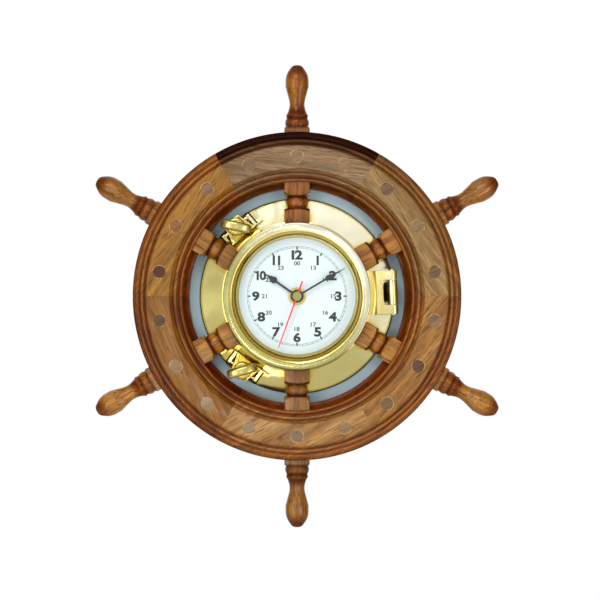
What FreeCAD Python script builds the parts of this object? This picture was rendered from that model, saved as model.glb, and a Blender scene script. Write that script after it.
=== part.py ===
import FreeCAD, Part
import math
import os

from FreeCAD import Vector

# A wooden ship's wheel wall clock with a hinged brass porthole and a quartz movement.
# +Z is up, -Y is the front, and a depth is a distance from the wall towards the viewer.
# Pieces are drawn about the wheel's axis and moved down at the end, so that the origin
# lies at the keyhole of the hanger plate, on the wall.

# Wheel
handle_length = 66.9
rim_width = 55.0
rim_gap = 10.2
rim_thickness = 42.0
moulding_drop = 7.0
rear_edge_round = 3.0
spoke_count = 6
spoke_width = 25.0
glue_gap = 0.1
stock_edge_round = 1.0
rebate_width = 9.7
rebate_depth = 4.5
board_thickness = 3.0

# Plugs and screws
plug_count = 18
plug_radius = 6.35
plug_length = 4.0
screw_radius = 2.0
screw_head_radius = 3.8
screw_head_height = 2.0
screw_slot_width = 1.0
screw_slot_depth = 0.9
screw_hole_clearance = 0.05
rim_screw_length = 30.0
board_screw_length = 11.0
flange_screw_length = 17.0
flange_screw_inset = 17.4

# Hanger plate
hanger_drop = 13.6
hanger_width = 44.0
hanger_tall = 16.0
hanger_thickness = 1.5
hanger_corner = 2.5
keyhole_radius = 4.5
keyhole_slot_width = 4.5
keyhole_slot_rise = 5.0
keyhole_cavity_side = 2.5
keyhole_cavity_depth = 6.0
hanger_screw_spread = 16.0
hanger_screw_radius = 1.4
hanger_screw_head_radius = 2.7
hanger_screw_head_height = 1.2
hanger_screw_length = 6.8

# Porthole body
porthole_turn = 2.4
gasket_thickness = 1.0
gasket_margin = 0.6
flange_width = 28.4
flange_thickness = 3.0
flange_edge_round = 0.9
cup_radius = 68.0
cup_wall = 5.0
cup_depth = 25.4
cup_spoke_gap = 0.3
dial_recess = 7.9
dial_ledge_width = 4.5
dial_ledge_thickness = 3.0
cup_foot_round = 0.25

# Door
door_gap = 0.3
door_thickness = 12.8
door_overhang = 4.1
door_draft = 1.9
door_edge_round = 0.9
door_face_width = 7.2
door_lip = 2.8
glass_seat_width = 3.8
glass_seat_drop = 7.3
glass_radial_gap = 0.3
glass_thickness = 2.0
glass_gasket_thickness = 0.7
retainer_thickness = 1.9
retainer_notch_width = 3.0
retainer_notch_depth = 1.2

# Hinge
hinge_reach = 21.9
hinge_barrel_radius = 4.7
hinge_block_length = 42.9
hinge_knuckle_length = 23.5
hinge_side_gap = 0.7
hinge_slot_clearance = 4.6
hinge_slot_corner = 1.5
hinge_block_thickness = 8.5
hinge_cove_reach = 5.7
hinge_pin_radius = 1.6
hinge_pin_head_radius = 2.3
hinge_pin_head_height = 0.8
running_clearance = 0.05
cove_top_drop = 1.6
cove_sag = 1.5
brass_edge_round = 0.6

# Dogs
dog_spread = 128.8
dog_inset = 5.5
dog_pivot_height = 4.0
dog_barrel_radius = 4.0
dog_shank_radius = 2.5
dog_pin_radius = 1.6
ear_gap = 0.4
ear_thickness = 3.0
ear_inner_side = 14.3
ear_reach = 4.9
ear_height = 11.0
ear_corner = 4.0
ear_spoke_gap = 0.5
notch_half_width = 18.8
notch_reach = 9.9
slit_width = 1.8
slit_depth = 1.6
slit_reach = 23.7
slit_start = 13.5
slit_inset = 2.0

# Door lugs
lug_base_reach = 11.9
lug_tip_reach = 7.7
lug_base_half_width = 14.8
lug_tip_half_width = 9.4
lug_thickness = 4.4
lug_rail_width = 2.4
lug_rail_height = 1.0
lug_side_sag = 0.7
lug_slot_clearance = 0.6

# Dog washers and ring nuts
washer_gap = 0.3
washer_radius = 7.5
washer_thickness = 1.2
washer_bore_clearance = 0.1
nut_gap = 0.1
nut_collar_radius = 8.9
nut_collar_height = 4.5
nut_neck_radius = 6.6
nut_flute_count = 14
nut_flute_radius = 1.1
nut_ring_half_length = 14.8
nut_ring_width = 9.0
nut_ring_height = 14.0
nut_ring_sink = 1.6
nut_ring_round = 2.9
nut_ring_hole_half_length = 7.6
nut_ring_hole_height = 6.6
nut_turn_from_tangent = 52.5
nut_lift_room = 4.2

# Dial
dial_thickness = 1.0
dial_radius_gap = 0.4
dial_ring_width = 5.1
dial_ring_bevel_width = 2.2
dial_ring_lip = 1.0
dial_ring_height = 4.6
bushing_radius = 4.0
bushing_hole_clearance = 0.3
dial_washer_radius = 8.75
dial_washer_thickness = 0.6
fixing_nut_radius = 5.8
fixing_nut_height = 2.0

# Hands
shown_hours = 10.0
shown_minutes = 9.93
shown_seconds = 33.3
hand_thickness = 0.4
hand_gap = 0.9
hand_seat_gap = 0.03
hour_hand_share = 0.6817
hour_hub_radius = 6.5
hour_stem_half_width = 1.05
hour_head_half_width = 3.4
minute_hand_gap = 2.6
minute_hub_radius = 5.6
minute_stem_half_width = 0.95
minute_head_half_width = 2.6
second_hand_gap = 3.6
second_hub_radius = 3.0
second_tail_length = 15.8
second_stem_half_width = 0.85
second_tip_half_width = 0.5
second_cap_radius = 4.4
second_cap_height = 1.1
second_cap_recess_radius = 3.3
second_cap_recess_depth = 0.5

# Movement case
train_room = 12.4
case_depth = 15.5
case_wall = 1.2
case_corner = 4.0
case_front_share = 0.5
rubber_washer_radius = 10.0
rubber_washer_thickness = 1.0
bushing_rise_above_nut = 0.4
boss_wall = 0.9

# Motion work and second train
second_arbor_radius = 0.5
cannon_wall = 1.1
hour_pipe_wall = 0.9
train_module = 0.3
motion_module = 0.5
wheel_thickness = 0.8
pinion_length = 1.5
rotor_pinion_teeth = 10
intermediate_teeth = 50
intermediate_pinion_teeth = 10
second_wheel_teeth = 60
second_pinion_teeth = 8
third_wheel_teeth = 60
third_pinion_teeth = 8
centre_wheel_teeth = 64
cannon_pinion_teeth = 10
motion_wheel_teeth = 30
motion_pinion_teeth = 8
hour_wheel_teeth = 32
knob_pinion_teeth = 15
intermediate_bearing = 30.0
rotor_bearing = 20.0
third_bearing = 150.0
motion_bearing = 90.0
knob_bearing = 140.0
end_play = 0.2
first_layer_rise = 1.2
layer_step = 2.0
stud_radius = 0.8
arbor_radius = 0.6
boss_height = 0.6
magnet_radius = 2.6
magnet_thickness = 0.8
magnet_rise = 3.4
knob_radius = 5.0
knob_height = 3.4
knob_stem_radius = 1.6
knob_gap = 0.5
knob_flute_count = 12
knob_flute_radius = 0.8

# Electric parts of the movement
battery_radius = 7.0
battery_length = 48.5
battery_button_radius = 2.6
battery_button_length = 1.2
battery_edge_round = 0.8
battery_gap = 0.2
bay_wall = 0.8
contact_room = 1.95
contact_thickness = 0.4
contact_width = 8.0
contact_bump_radius = 2.4
coil_radius = 3.2
coil_core_radius = 1.1
coil_flange_radius = 3.6
coil_flange_thickness = 0.8
coil_case_gap = 0.8
stator_thickness = 0.6
stator_arm_width = 3.0
stator_left = 7.0
stator_case_gap = 1.8
stator_lobe_radius = 4.6
stator_magnet_gap = 0.5
stator_bottom = 6.6
stator_bar_height = 3.4
stator_top_margin = 1.6
post_radius = 1.2
post_drop = 5.9
circuit_board_case_gap = 0.8
circuit_board_width = 8.0
circuit_board_bottom = -6.0
circuit_board_height = 26.0
circuit_board_thickness = 0.9
chip_side = 4.0
chip_thickness = 1.2
crystal_radius = 1.2
crystal_length = 6.5
part_gap = 0.1

# Tests for an edge's direction
nearly_one = 0.999999

# Shares
# Plugs' circle: share of the rim's width, from its inner edge.
plug_circle_share = 0.558
# Rim moulding from the outer edge inwards: share of the rim's width, share of the moulding's
# drop below the front face, and the arc's rise as a share of the drop.
rim_moulding_shares = [
    (0.000, 0.800, 0.00), (0.047, 0.486, 0.09), (0.115, 0.443, 0.18), (0.127, 0.443, 0.00),
    (0.200, 0.343, 0.20), (0.209, 0.343, 0.00), (0.264, 0.000, 0.07), (0.640, 0.000, 0.00),
    (0.667, 0.143, 0.04), (0.718, 0.543, -0.05), (0.784, 0.629, 0.20), (0.792, 0.720, 0.00),
    (0.829, 0.780, 0.00), (0.882, 0.900, 0.15), (0.889, 1.057, 0.00), (0.985, 2.450, -0.35),
    (1.000, 2.560, 0.05)]
# Spoke between the cup and the rim: share of that length, share of the spoke's width, arc rise.
waist_shares = [
    (0.352, 0.716, 0.000), (0.488, 0.436, 0.030), (0.500, 0.384, 0.000), (0.520, 0.384, 0.000),
    (0.532, 0.412, 0.000), (0.755, 0.412, 0.028), (0.765, 0.390, 0.000), (0.780, 0.390, 0.000),
    (0.788, 0.424, 0.000), (0.937, 0.716, 0.040)]
# Handle outside the rim, as far as the collar: share of the handle, share of the width, rise.
handle_collar_shares = [
    (0.025, 0.716, 0.000), (0.079, 0.480, 0.030), (0.095, 0.450, 0.000), (0.102, 0.450, 0.000),
    (0.194, 0.436, 0.032), (0.206, 0.414, 0.000), (0.227, 0.414, 0.000), (0.262, 0.430, 0.010)]
# The grip's smooth curve: share of the handle, share of the width.
grip_shares = [
    (0.262, 0.430), (0.323, 0.342), (0.425, 0.298), (0.552, 0.368), (0.656, 0.444), (0.743, 0.460)]
tip_shares = [(0.743, 0.460), (0.862, 0.410), (0.952, 0.264), (1.000, 0.000)]
# Half outlines of the hands' heads: share of the hand's length, share of the head's half width.
hour_head_shares = [(0.62, 0.31), (0.645, 0.62), (0.70, 1.00), (0.76, 0.80), (0.86, 0.36), (1.00, 0.05)]
minute_head_shares = [(0.59, 0.36), (0.61, 0.75), (0.65, 1.00), (0.72, 0.72), (0.82, 0.31), (0.91, 0.14),
                      (1.00, 0.06)]
# Gear teeth: shares of the module and of the tooth pitch.
addendum_share = 0.90
dedendum_share = 1.25
root_width_share = 0.50
pitch_width_share = 0.38
tip_width_share = 0.16

# Places that follow from the sizes above
flange_radius = cup_radius + flange_width
rim_inner_radius = flange_radius + rim_gap
rim_outer_radius = rim_inner_radius + rim_width
spoke_tip_radius = rim_outer_radius + handle_length
plug_circle_radius = rim_inner_radius + plug_circle_share * rim_width
hanger_height = rim_outer_radius - hanger_drop
flange_screw_circle_radius = flange_radius - flange_screw_inset
layer_depth = rim_thickness / 2
spoke_back = layer_depth - spoke_width / 2
spoke_front = layer_depth + spoke_width / 2
rebate_radius = rim_inner_radius + rebate_width
board_radius = rebate_radius - glue_gap
board_front = rebate_depth
board_back = rebate_depth - board_thickness
flange_back = board_front + gasket_thickness
flange_front = flange_back + flange_thickness
cup_front = flange_front + cup_depth
cup_bore = cup_radius - cup_wall
door_radius = cup_radius + door_overhang
door_opening_radius = cup_bore - door_lip
board_hole_radius = cup_bore - gasket_thickness
door_back = cup_front + door_gap
door_front = door_back + door_thickness
glass_seat_radius = door_opening_radius + glass_seat_width
glass_seat_depth = door_front - glass_seat_drop
glass_front = glass_seat_depth - glass_gasket_thickness
glass_back = glass_front - glass_thickness
retainer_back = glass_back - retainer_thickness
hinge_axis_radius = door_radius + hinge_reach
hinge_block_start_radius = door_radius + hinge_cove_reach
hinge_axis_depth = door_back + hinge_block_thickness - hinge_barrel_radius
dog_radius = flange_radius - dog_inset
ear_outer_radius = dog_radius + ear_reach
notch_inner_radius = dog_radius - notch_reach
slit_radius = notch_inner_radius - slit_inset
lug_base_radius = dog_radius - lug_base_reach
lug_tip_radius = dog_radius + lug_tip_reach
dog_pivot_depth = flange_front + dog_pivot_height
lug_top = door_back + lug_thickness
dog_washer_back = lug_top + washer_gap
dog_washer_front = dog_washer_back + washer_thickness
nut_back = dog_washer_front + nut_gap
nut_collar_top = nut_back + nut_collar_height
dog_shank_top = nut_collar_top + nut_lift_room
spoke_inner_radius = cup_radius + cup_spoke_gap
cut_margin = spoke_width
round_share = 1 / math.sqrt(2) - 0.5
dial_back = cup_front - dial_recess
dial_front = dial_back + dial_thickness
dial_radius = cup_bore - dial_radius_gap
dial_ring_inner_radius = dial_radius - dial_ring_width
minute_hand_length = dial_ring_inner_radius - minute_hand_gap
second_hand_length = dial_ring_inner_radius - second_hand_gap
hour_hand_length = dial_ring_inner_radius * hour_hand_share
case_width = battery_length + battery_button_length + 2 * (contact_room + case_wall)
case_height = 2 * (train_room + 2 * (battery_gap + battery_radius) + case_wall)
inner_half_width = case_width / 2 - case_wall
inner_half_height = case_height / 2 - case_wall
coil_height = inner_half_height - coil_case_gap - coil_flange_radius
stator_right = inner_half_width - stator_case_gap
circuit_board_left = circuit_board_case_gap - inner_half_width
case_front = dial_back - rubber_washer_thickness
case_back = case_front - case_depth
case_middle = case_front - case_depth * case_front_share
washer_front = dial_front + dial_washer_thickness
fixing_nut_front = washer_front + fixing_nut_height
bushing_front = fixing_nut_front + bushing_rise_above_nut
cannon_bore = second_arbor_radius + running_clearance
cannon_radius = cannon_bore + cannon_wall
hour_pipe_bore = cannon_radius + running_clearance
hour_pipe_radius = hour_pipe_bore + hour_pipe_wall
bushing_bore = hour_pipe_radius + running_clearance
hour_hand_back = bushing_front + hand_gap
minute_hand_back = hour_hand_back + hand_thickness + hand_gap
second_hand_back = minute_hand_back + hand_thickness + hand_gap
case_floor = case_back + case_wall
case_ceiling = case_front - case_wall
intermediate_layer = case_floor + first_layer_rise
second_layer = intermediate_layer + layer_step
third_layer = second_layer + layer_step
centre_layer = third_layer + layer_step
motion_layer = centre_layer + layer_step
hour_layer = motion_layer + layer_step
pinion_drop = (pinion_length - wheel_thickness) / 2
magnet_back = intermediate_layer + magnet_rise
battery_depth = case_ceiling - battery_gap - battery_radius
battery_z = case_wall + battery_gap + battery_radius - case_height / 2
bay_top = battery_z + battery_radius + battery_gap

FRONT = Vector(0, -1, 0)
RIGHT = Vector(1, 0, 0)
UP = Vector(0, 0, 1)
CENTRE = Vector(0, 0, 0)


def place(x, depth, z):
    """Point at a depth from the wall, seen from the front as x and z."""
    return Vector(x, -depth, z)


def polar(radius, bearing):
    """x and z of a point at a bearing, counted anticlockwise from the right."""
    angle = math.radians(bearing)
    return radius * math.cos(angle), radius * math.sin(angle)


def lathe_plane(radius, depth):
    return Vector(radius, -depth, 0)


def face_plane(depth):
    return lambda x, z: Vector(x, -depth, z)


def side_plane(z):
    """Section across a piece that runs along the tangent: x is the radius, then the depth."""
    return lambda x, depth: Vector(x, -depth, z)


def ring_plane(x):
    """Section seen along the radius: z along the tangent, then the depth."""
    return lambda z, depth: Vector(x, -depth, z)


def spoke_plane(along, radius):
    return Vector(radius, -layer_depth, along)


class Pen:
    """Draws a closed outline of lines, arcs and curves in a plane."""

    def __init__(self, plane, u, v):
        self.plane = plane
        self.start = (u, v)
        self.here = (u, v)
        self.edges = []

    def line(self, u, v):
        self.edges.append(Part.LineSegment(self.plane(*self.here), self.plane(u, v)).toShape())
        self.here = (u, v)
        return self

    def bow(self, u, v, rise):
        """Arc whose middle stands off its chord by rise, to the left of the way it is drawn."""
        du = u - self.here[0]
        dv = v - self.here[1]
        length = math.hypot(du, dv)
        middle_u = (u + self.here[0]) / 2 - dv / length * rise
        middle_v = (v + self.here[1]) / 2 + du / length * rise
        arc = Part.Arc(self.plane(*self.here), self.plane(middle_u, middle_v), self.plane(u, v))
        self.edges.append(arc.toShape())
        self.here = (u, v)
        return self

    def step(self, u, v, rise):
        return self.bow(u, v, rise) if rise else self.line(u, v)

    def curve(self, points, start_way, end_way):
        """Smooth curve through points, with the ways in which it starts and ends."""
        spline = Part.BSplineCurve()
        origin = self.plane(0, 0)
        spline.interpolate(
            Points=[self.plane(u, v) for u, v in points],
            InitialTangent=self.plane(*start_way) - origin,
            FinalTangent=self.plane(*end_way) - origin)
        self.edges.append(spline.toShape())
        self.here = points[-1]
        return self

    def face(self):
        if self.here != self.start:
            self.line(*self.start)
        return Part.Face(Part.Wire(self.edges))


def revolved(face, degrees=360.0):
    """Turned about the wheel's axis, anticlockwise seen from the front."""
    return face.revolve(CENTRE, FRONT, degrees)


def disc(radius, back, front, x=0, z=0):
    return Part.makeCylinder(radius, front - back, place(x, back, z), FRONT)


def ring(outer, inner, back, front, x=0, z=0):
    return disc(outer, back, front, x, z).cut(disc(inner, back, front, x, z))


def block(x_low, x_high, back, front, z_low, z_high):
    corner = place(x_low, front, z_low)
    return Part.makeBox(x_high - x_low, front - back, z_high - z_low, corner)


def edges_of(shape, kind):
    return [edge for edge in shape.Edges if edge.Curve.TypeId == kind]


def edges_along(shape, way):
    """Straight edges that run along a direction."""
    return [edge for edge in edges_of(shape, "Part::GeomLine")
            if abs(edge.tangentAt(edge.FirstParameter).dot(way)) > nearly_one]


def edges_at(shape, depth):
    """Edges that lie in one plane parallel to the wall."""
    near = glue_gap / 10
    return [edge for edge in shape.Edges
            if abs(edge.BoundBox.YMin + depth) < near and abs(edge.BoundBox.YMax + depth) < near]


def plate(x_low, x_high, back, front, z_low, z_high, corner):
    """Block with rounded corners, seen from the front."""
    body = block(x_low, x_high, back, front, z_low, z_high)
    return body.makeFillet(corner, edges_along(body, FRONT))


def turned_by(shape, bearing):
    """Turned about the wheel's axis, anticlockwise seen from the front."""
    return shape.rotated(CENTRE, FRONT, bearing)


def joined(pieces):
    return pieces[0].multiFuse(pieces[1:]).removeSplitter()


def write(name, pieces):
    """Moves solids from the wheel's axis to the part's frame and writes one file."""
    solids = [solid for piece in pieces for solid in piece.Solids]
    whole = solids[0] if len(solids) == 1 else Part.makeCompound(solids)
    whole = whole.translated(UP * -hanger_height)
    whole.exportStep(os.path.join("parts", name + ".step"))
    print(name, len(solids), "solids", round(whole.Volume), "mm3", "valid", whole.isValid())


os.makedirs("parts", exist_ok=True)


# Wood screws and the holes that they need

def wood_screw(x, z, head_face, way, length, radius, head_radius, head_height, sunk):
    """Slotted screw. way is 1 where its point looks at the viewer and -1 where it looks at the wall."""
    start = place(x, head_face, z)
    axis = FRONT * way
    if sunk:
        head = Part.makeCone(head_radius, radius, head_height, start, axis)
    else:
        head = Part.makeCylinder(head_radius, head_height, start, axis)
    point = Part.makeCone(radius, radius / 4, radius * 2, start + axis * (length - radius * 2), axis)
    shank = Part.makeCylinder(radius, length - radius * 2, start, axis)
    slot_end = head_face + way * screw_slot_depth
    half_slot = screw_slot_width / 2
    slot = block(x - head_radius, x + head_radius, min(head_face, slot_end), max(head_face, slot_end),
                 z - half_slot, z + half_slot)
    return joined([head, shank, point]).cut(slot)


def screw_hole(x, z, head_face, way, length, radius):
    start = place(x, head_face, z)
    return Part.makeCylinder(radius + screw_hole_clearance, length + glue_gap, start, FRONT * way)


def sunk_hole(x, z, head_face, way, radius, head_radius, head_height):
    start = place(x, head_face, z)
    gap = screw_hole_clearance
    return Part.makeCone(head_radius + gap, radius + gap, head_height, start, FRONT * way)


# Wheel

spoke_bearings = [90.0 - index * 360.0 / spoke_count for index in range(spoke_count)]
felloe_sweep = 360.0 / spoke_count - math.degrees(glue_gap / rim_inner_radius)
plug_bearings = [90.0 + index * 360.0 / plug_count for index in range(plug_count)]
rim_screw_face = rim_thickness - plug_length
rim_screw_seat = rim_screw_face - screw_head_height
board_screw_radius = rim_inner_radius + rebate_width / 2
board_screw_bearings = [index * 360.0 / spoke_count for index in range(spoke_count)]


def spoke_mortise(bearing):
    half = spoke_width / 2 + glue_gap
    channel = block(-half, half, layer_depth - half, layer_depth + half,
                    rim_inner_radius - cut_margin, rim_outer_radius + cut_margin)
    return turned_by(channel, bearing - 90.0)


def rim_screw_holes(bearing):
    x, z = polar(plug_circle_radius, bearing)
    seat = disc(plug_radius + screw_hole_clearance, rim_screw_seat, rim_thickness, x, z)
    return [seat, screw_hole(x, z, rim_screw_face, -1, rim_screw_length, screw_radius)]


def board_screw_hole(bearing):
    x, z = polar(board_screw_radius, bearing)
    return screw_hole(x, z, board_back, 1, board_screw_length, screw_radius)


def front_felloe(bearing):
    """One sixth of the moulded front layer, with the spoke's half mortise and the plugs' holes."""
    pen = Pen(lambda across, depth: lathe_plane(rim_outer_radius - across, depth), 0, layer_depth)
    for across_share, drop_share, rise_share in rim_moulding_shares:
        depth = rim_thickness - drop_share * moulding_drop
        if across_share:
            pen.step(across_share * rim_width, depth, rise_share * moulding_drop)
        else:
            pen.line(0, depth)
    pen.line(rim_width, layer_depth)
    sector = turned_by(revolved(pen.face(), felloe_sweep), bearing - felloe_sweep / 2)
    cuts = [spoke_mortise(bearing)]
    for plug_bearing in plug_bearings:
        if math.cos(math.radians(plug_bearing - bearing)) > math.cos(math.pi / spoke_count):
            cuts += rim_screw_holes(plug_bearing)
    return sector.cut(cuts)


def rear_felloe(bearing):
    """One sixth of the plain rear layer, rebated for the backboard and holding half the mortises."""
    pen = Pen(lathe_plane, rim_outer_radius, layer_depth)
    pen.line(rim_outer_radius, rear_edge_round)
    pen.bow(rim_outer_radius - rear_edge_round, 0, -rear_edge_round * round_share)
    pen.line(rebate_radius, 0)
    pen.line(rebate_radius, rebate_depth)
    pen.line(rim_inner_radius, rebate_depth)
    pen.line(rim_inner_radius, layer_depth)
    sector = turned_by(revolved(pen.face(), felloe_sweep), bearing - felloe_sweep / 2)
    half_step = 180.0 / spoke_count
    cuts = [spoke_mortise(bearing - half_step), spoke_mortise(bearing + half_step)]
    for plug_bearing in plug_bearings:
        cuts += rim_screw_holes(plug_bearing)[1:]
    cuts += [board_screw_hole(screw_bearing) for screw_bearing in board_screw_bearings]
    cuts += hanger_cuts()
    return sector.cut(cuts)


def spoke(bearing):
    """Square stock turned to a waist inside the rim and to a handle outside it, in one piece."""
    waist_length = rim_inner_radius - spoke_inner_radius
    handle_length = spoke_tip_radius - rim_outer_radius
    pen = Pen(spoke_plane, spoke_inner_radius, 0)
    pen.line(spoke_inner_radius, waist_shares[0][1] * spoke_width)
    for along_share, radius_share, rise_share in waist_shares:
        along = spoke_inner_radius + along_share * waist_length
        pen.step(along, radius_share * spoke_width, rise_share * spoke_width)
    for along_share, radius_share, rise_share in handle_collar_shares:
        along = rim_outer_radius + along_share * handle_length
        pen.step(along, radius_share * spoke_width, rise_share * spoke_width)
    grip = [(rim_outer_radius + along * handle_length, radius * spoke_width) for along, radius in grip_shares]
    pen.curve(grip, (1, -1), (1, 0))
    tip = [(rim_outer_radius + along * handle_length, radius * spoke_width) for along, radius in tip_shares]
    pen.curve(tip, (1, 0), (0, -1))
    stem = pen.face().revolve(spoke_plane(0, 0), UP, 360.0)
    half = spoke_width / 2
    stock = block(-half, half, spoke_back, spoke_front, 0, spoke_tip_radius + cut_margin)
    stock = stock.makeFillet(stock_edge_round, edges_along(stock, UP))
    piece = turned_by(stem.common(stock), bearing - 90.0)
    cuts = rim_screw_holes(bearing)[1:]
    x, z = polar(flange_screw_circle_radius, bearing)
    cuts.append(screw_hole(x, z, board_back, 1, flange_screw_length, screw_radius))
    return piece.cut(cuts)


def hanger_plate():
    """Brass keyhole plate let into the back of the rim's top."""
    half = hanger_width / 2
    low = hanger_height - hanger_tall / 2 + keyhole_slot_rise / 3
    body = plate(-half, half, 0, hanger_thickness, low, low + hanger_tall, hanger_corner)
    top = hanger_height + keyhole_slot_rise
    half_slot = keyhole_slot_width / 2
    cuts = [disc(keyhole_radius, 0, hanger_thickness, 0, hanger_height),
            block(-half_slot, half_slot, 0, hanger_thickness, hanger_height, top),
            disc(half_slot, 0, hanger_thickness, 0, top)]
    for side in (-1, 1):
        cuts.append(sunk_hole(side * hanger_screw_spread, hanger_height, 0, 1,
                              hanger_screw_radius, hanger_screw_head_radius, hanger_screw_head_height))
        cuts.append(screw_hole(side * hanger_screw_spread, hanger_height, 0, 1,
                               hanger_screw_length, hanger_screw_radius))
    return body.cut(cuts)


def hanger_cuts():
    """The plate's seat, the room behind it for a screw's head, and its pilot holes."""
    half = hanger_width / 2 + glue_gap
    low = hanger_height - hanger_tall / 2 + keyhole_slot_rise / 3
    seat = plate(-half, half, 0, hanger_thickness, low - glue_gap, low + hanger_tall + glue_gap,
                 hanger_corner + glue_gap)
    side = keyhole_radius + keyhole_cavity_side
    room = block(-side, side, 0, hanger_thickness + keyhole_cavity_depth,
                 hanger_height - keyhole_radius - glue_gap,
                 hanger_height + keyhole_slot_rise + keyhole_radius)
    pilots = [screw_hole(way * hanger_screw_spread, hanger_height, 0, 1, hanger_screw_length,
                         hanger_screw_radius) for way in (-1, 1)]
    return [seat, room] + pilots


for index, bearing in enumerate(spoke_bearings):
    write("front_felloe_" + str(index + 1), [front_felloe(bearing)])
    write("spoke_" + str(index + 1), [spoke(bearing)])
write("rear_felloes", [rear_felloe(bearing + 180.0 / spoke_count) for bearing in spoke_bearings])

plugs = []
rim_screws = []
for bearing in plug_bearings:
    x, z = polar(plug_circle_radius, bearing)
    plugs.append(disc(plug_radius, rim_screw_face, rim_thickness, x, z))
    rim_screws.append(wood_screw(x, z, rim_screw_face, -1, rim_screw_length, screw_radius,
                                 screw_head_radius, screw_head_height, False))
write("rim_plugs", plugs)
write("rim_screws", rim_screws)

write("hanger_plate", [hanger_plate()])
write("hanger_screws", [
    wood_screw(side * hanger_screw_spread, hanger_height, 0, 1, hanger_screw_length,
               hanger_screw_radius, hanger_screw_head_radius, hanger_screw_head_height, True)
    for side in (-1, 1)])


# Backboard, gasket and the screws that hold them

board = ring(board_radius, board_hole_radius, board_back, board_front)
board_cuts = []
board_screws = []
flange_screws = []
for bearing in board_screw_bearings:
    x, z = polar(board_screw_radius, bearing)
    board_cuts.append(board_screw_hole(bearing))
    board_cuts.append(sunk_hole(x, z, board_back, 1, screw_radius, screw_head_radius, screw_head_height))
    board_screws.append(wood_screw(x, z, board_back, 1, board_screw_length, screw_radius,
                                   screw_head_radius, screw_head_height, True))
flange_screw_holes = []
for bearing in spoke_bearings:
    x, z = polar(flange_screw_circle_radius, bearing)
    flange_screw_holes.append(screw_hole(x, z, board_back, 1, flange_screw_length, screw_radius))
    board_cuts.append(sunk_hole(x, z, board_back, 1, screw_radius, screw_head_radius, screw_head_height))
    flange_screws.append(wood_screw(x, z, board_back, 1, flange_screw_length, screw_radius,
                                    screw_head_radius, screw_head_height, True))
write("backboard", [board.cut(board_cuts + flange_screw_holes)])
write("backboard_screws", board_screws)
write("flange_screws", flange_screws)
gasket = ring(flange_radius + gasket_margin, cup_bore, board_front, flange_back)
write("porthole_gasket", [gasket.cut(flange_screw_holes)])


# Porthole body: flange, cup, hinge knuckle and dog ears in one casting

dog_bearings = {"upper": porthole_turn + dog_spread, "lower": porthole_turn - dog_spread}


def along_tangent(radius, axis_radius, axis_depth, half_length):
    """Cylinder that lies along the tangent at the right of the wheel."""
    start = place(axis_radius, axis_depth, -half_length)
    return Part.makeCylinder(radius, half_length * 2, start, UP)


def dog_ear(side):
    """Upright ear of a dog's hinge, rooted in the flange at the notch's inner edge."""
    low, high = sorted([side * ear_inner_side, side * (ear_inner_side + ear_thickness)])
    root = slit_radius + slit_width / 2
    ear = block(root, ear_outer_radius, flange_back, flange_back + ear_height, low, high)
    corner = [edge for edge in edges_along(ear, UP)
              if edge.BoundBox.XMin > root and -edge.BoundBox.YMin > flange_front]
    ear = ear.makeFillet(ear_corner, corner)
    return ear.cut(along_tangent(dog_pin_radius + screw_hole_clearance, dog_radius, dog_pivot_depth,
                                 notch_half_width))


def spoke_room(bearing):
    """Room for a spoke's square end, in front of the flange."""
    half = spoke_width / 2 + ear_spoke_gap
    waist_start = spoke_inner_radius + waist_shares[1][0] * (rim_inner_radius - spoke_inner_radius)
    room = block(-half, half, flange_front, spoke_front, spoke_inner_radius, waist_start)
    return turned_by(room, bearing - 90.0)


def porthole_body():
    ledge_radius = cup_bore - dial_ledge_width
    ledge_back = dial_back - dial_ledge_thickness
    pen = Pen(lathe_plane, cup_bore, flange_back)
    pen.line(flange_radius, flange_back)
    pen.line(flange_radius, flange_front - flange_edge_round)
    pen.bow(flange_radius - flange_edge_round, flange_front, -flange_edge_round * round_share)
    pen.line(cup_radius + cup_foot_round, flange_front)
    pen.bow(cup_radius, flange_front + cup_foot_round, cup_foot_round * round_share)
    pen.line(cup_radius, cup_front)
    pen.line(cup_bore, cup_front)
    pen.line(cup_bore, dial_back)
    pen.line(ledge_radius, dial_back)
    pen.line(ledge_radius, ledge_back)
    pen.line(cup_bore, ledge_back - dial_ledge_width)
    body = revolved(pen.face())
    cuts = list(flange_screw_holes)
    spoke_rooms = [spoke_room(spoke_bearing) for spoke_bearing in spoke_bearings]
    added = []
    for bearing in dog_bearings.values():
        notch = block(notch_inner_radius, flange_radius + cut_margin, flange_back, flange_front,
                      -notch_half_width, notch_half_width)
        cuts.append(turned_by(notch, bearing))
        for side in (-1, 1):
            low, high = sorted([side * slit_start, side * slit_reach])
            slit = block(slit_radius - slit_width / 2, slit_radius + slit_width / 2,
                         flange_front - slit_depth, flange_front, low, high)
            cuts.append(turned_by(slit, bearing))
            ear = turned_by(dog_ear(side), bearing)
            added.append(ear.cut(spoke_rooms))
    half_knuckle = hinge_knuckle_length / 2
    post = block(hinge_axis_radius - hinge_barrel_radius, hinge_axis_radius + hinge_barrel_radius,
                 flange_back, hinge_axis_depth, -half_knuckle, half_knuckle)
    barrel = along_tangent(hinge_barrel_radius, hinge_axis_radius, hinge_axis_depth, half_knuckle)
    bore = along_tangent(hinge_pin_radius + running_clearance, hinge_axis_radius, hinge_axis_depth,
                         hinge_block_length)
    knuckle = joined([post, barrel]).cut(bore)
    added.append(turned_by(knuckle, porthole_turn))
    return joined([body.cut(cuts)] + added)


write("porthole_body", [porthole_body()])
half_pin = ear_inner_side + ear_thickness
write("dog_pins", [turned_by(along_tangent(dog_pin_radius, dog_radius, dog_pivot_depth, half_pin), bearing)
                   for bearing in dog_bearings.values()])


# Door: ring, hinge fork and lugs in one casting, with its glass

def tangent_prism(face, half_length):
    return face.extrude(UP * half_length * 2)


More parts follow.
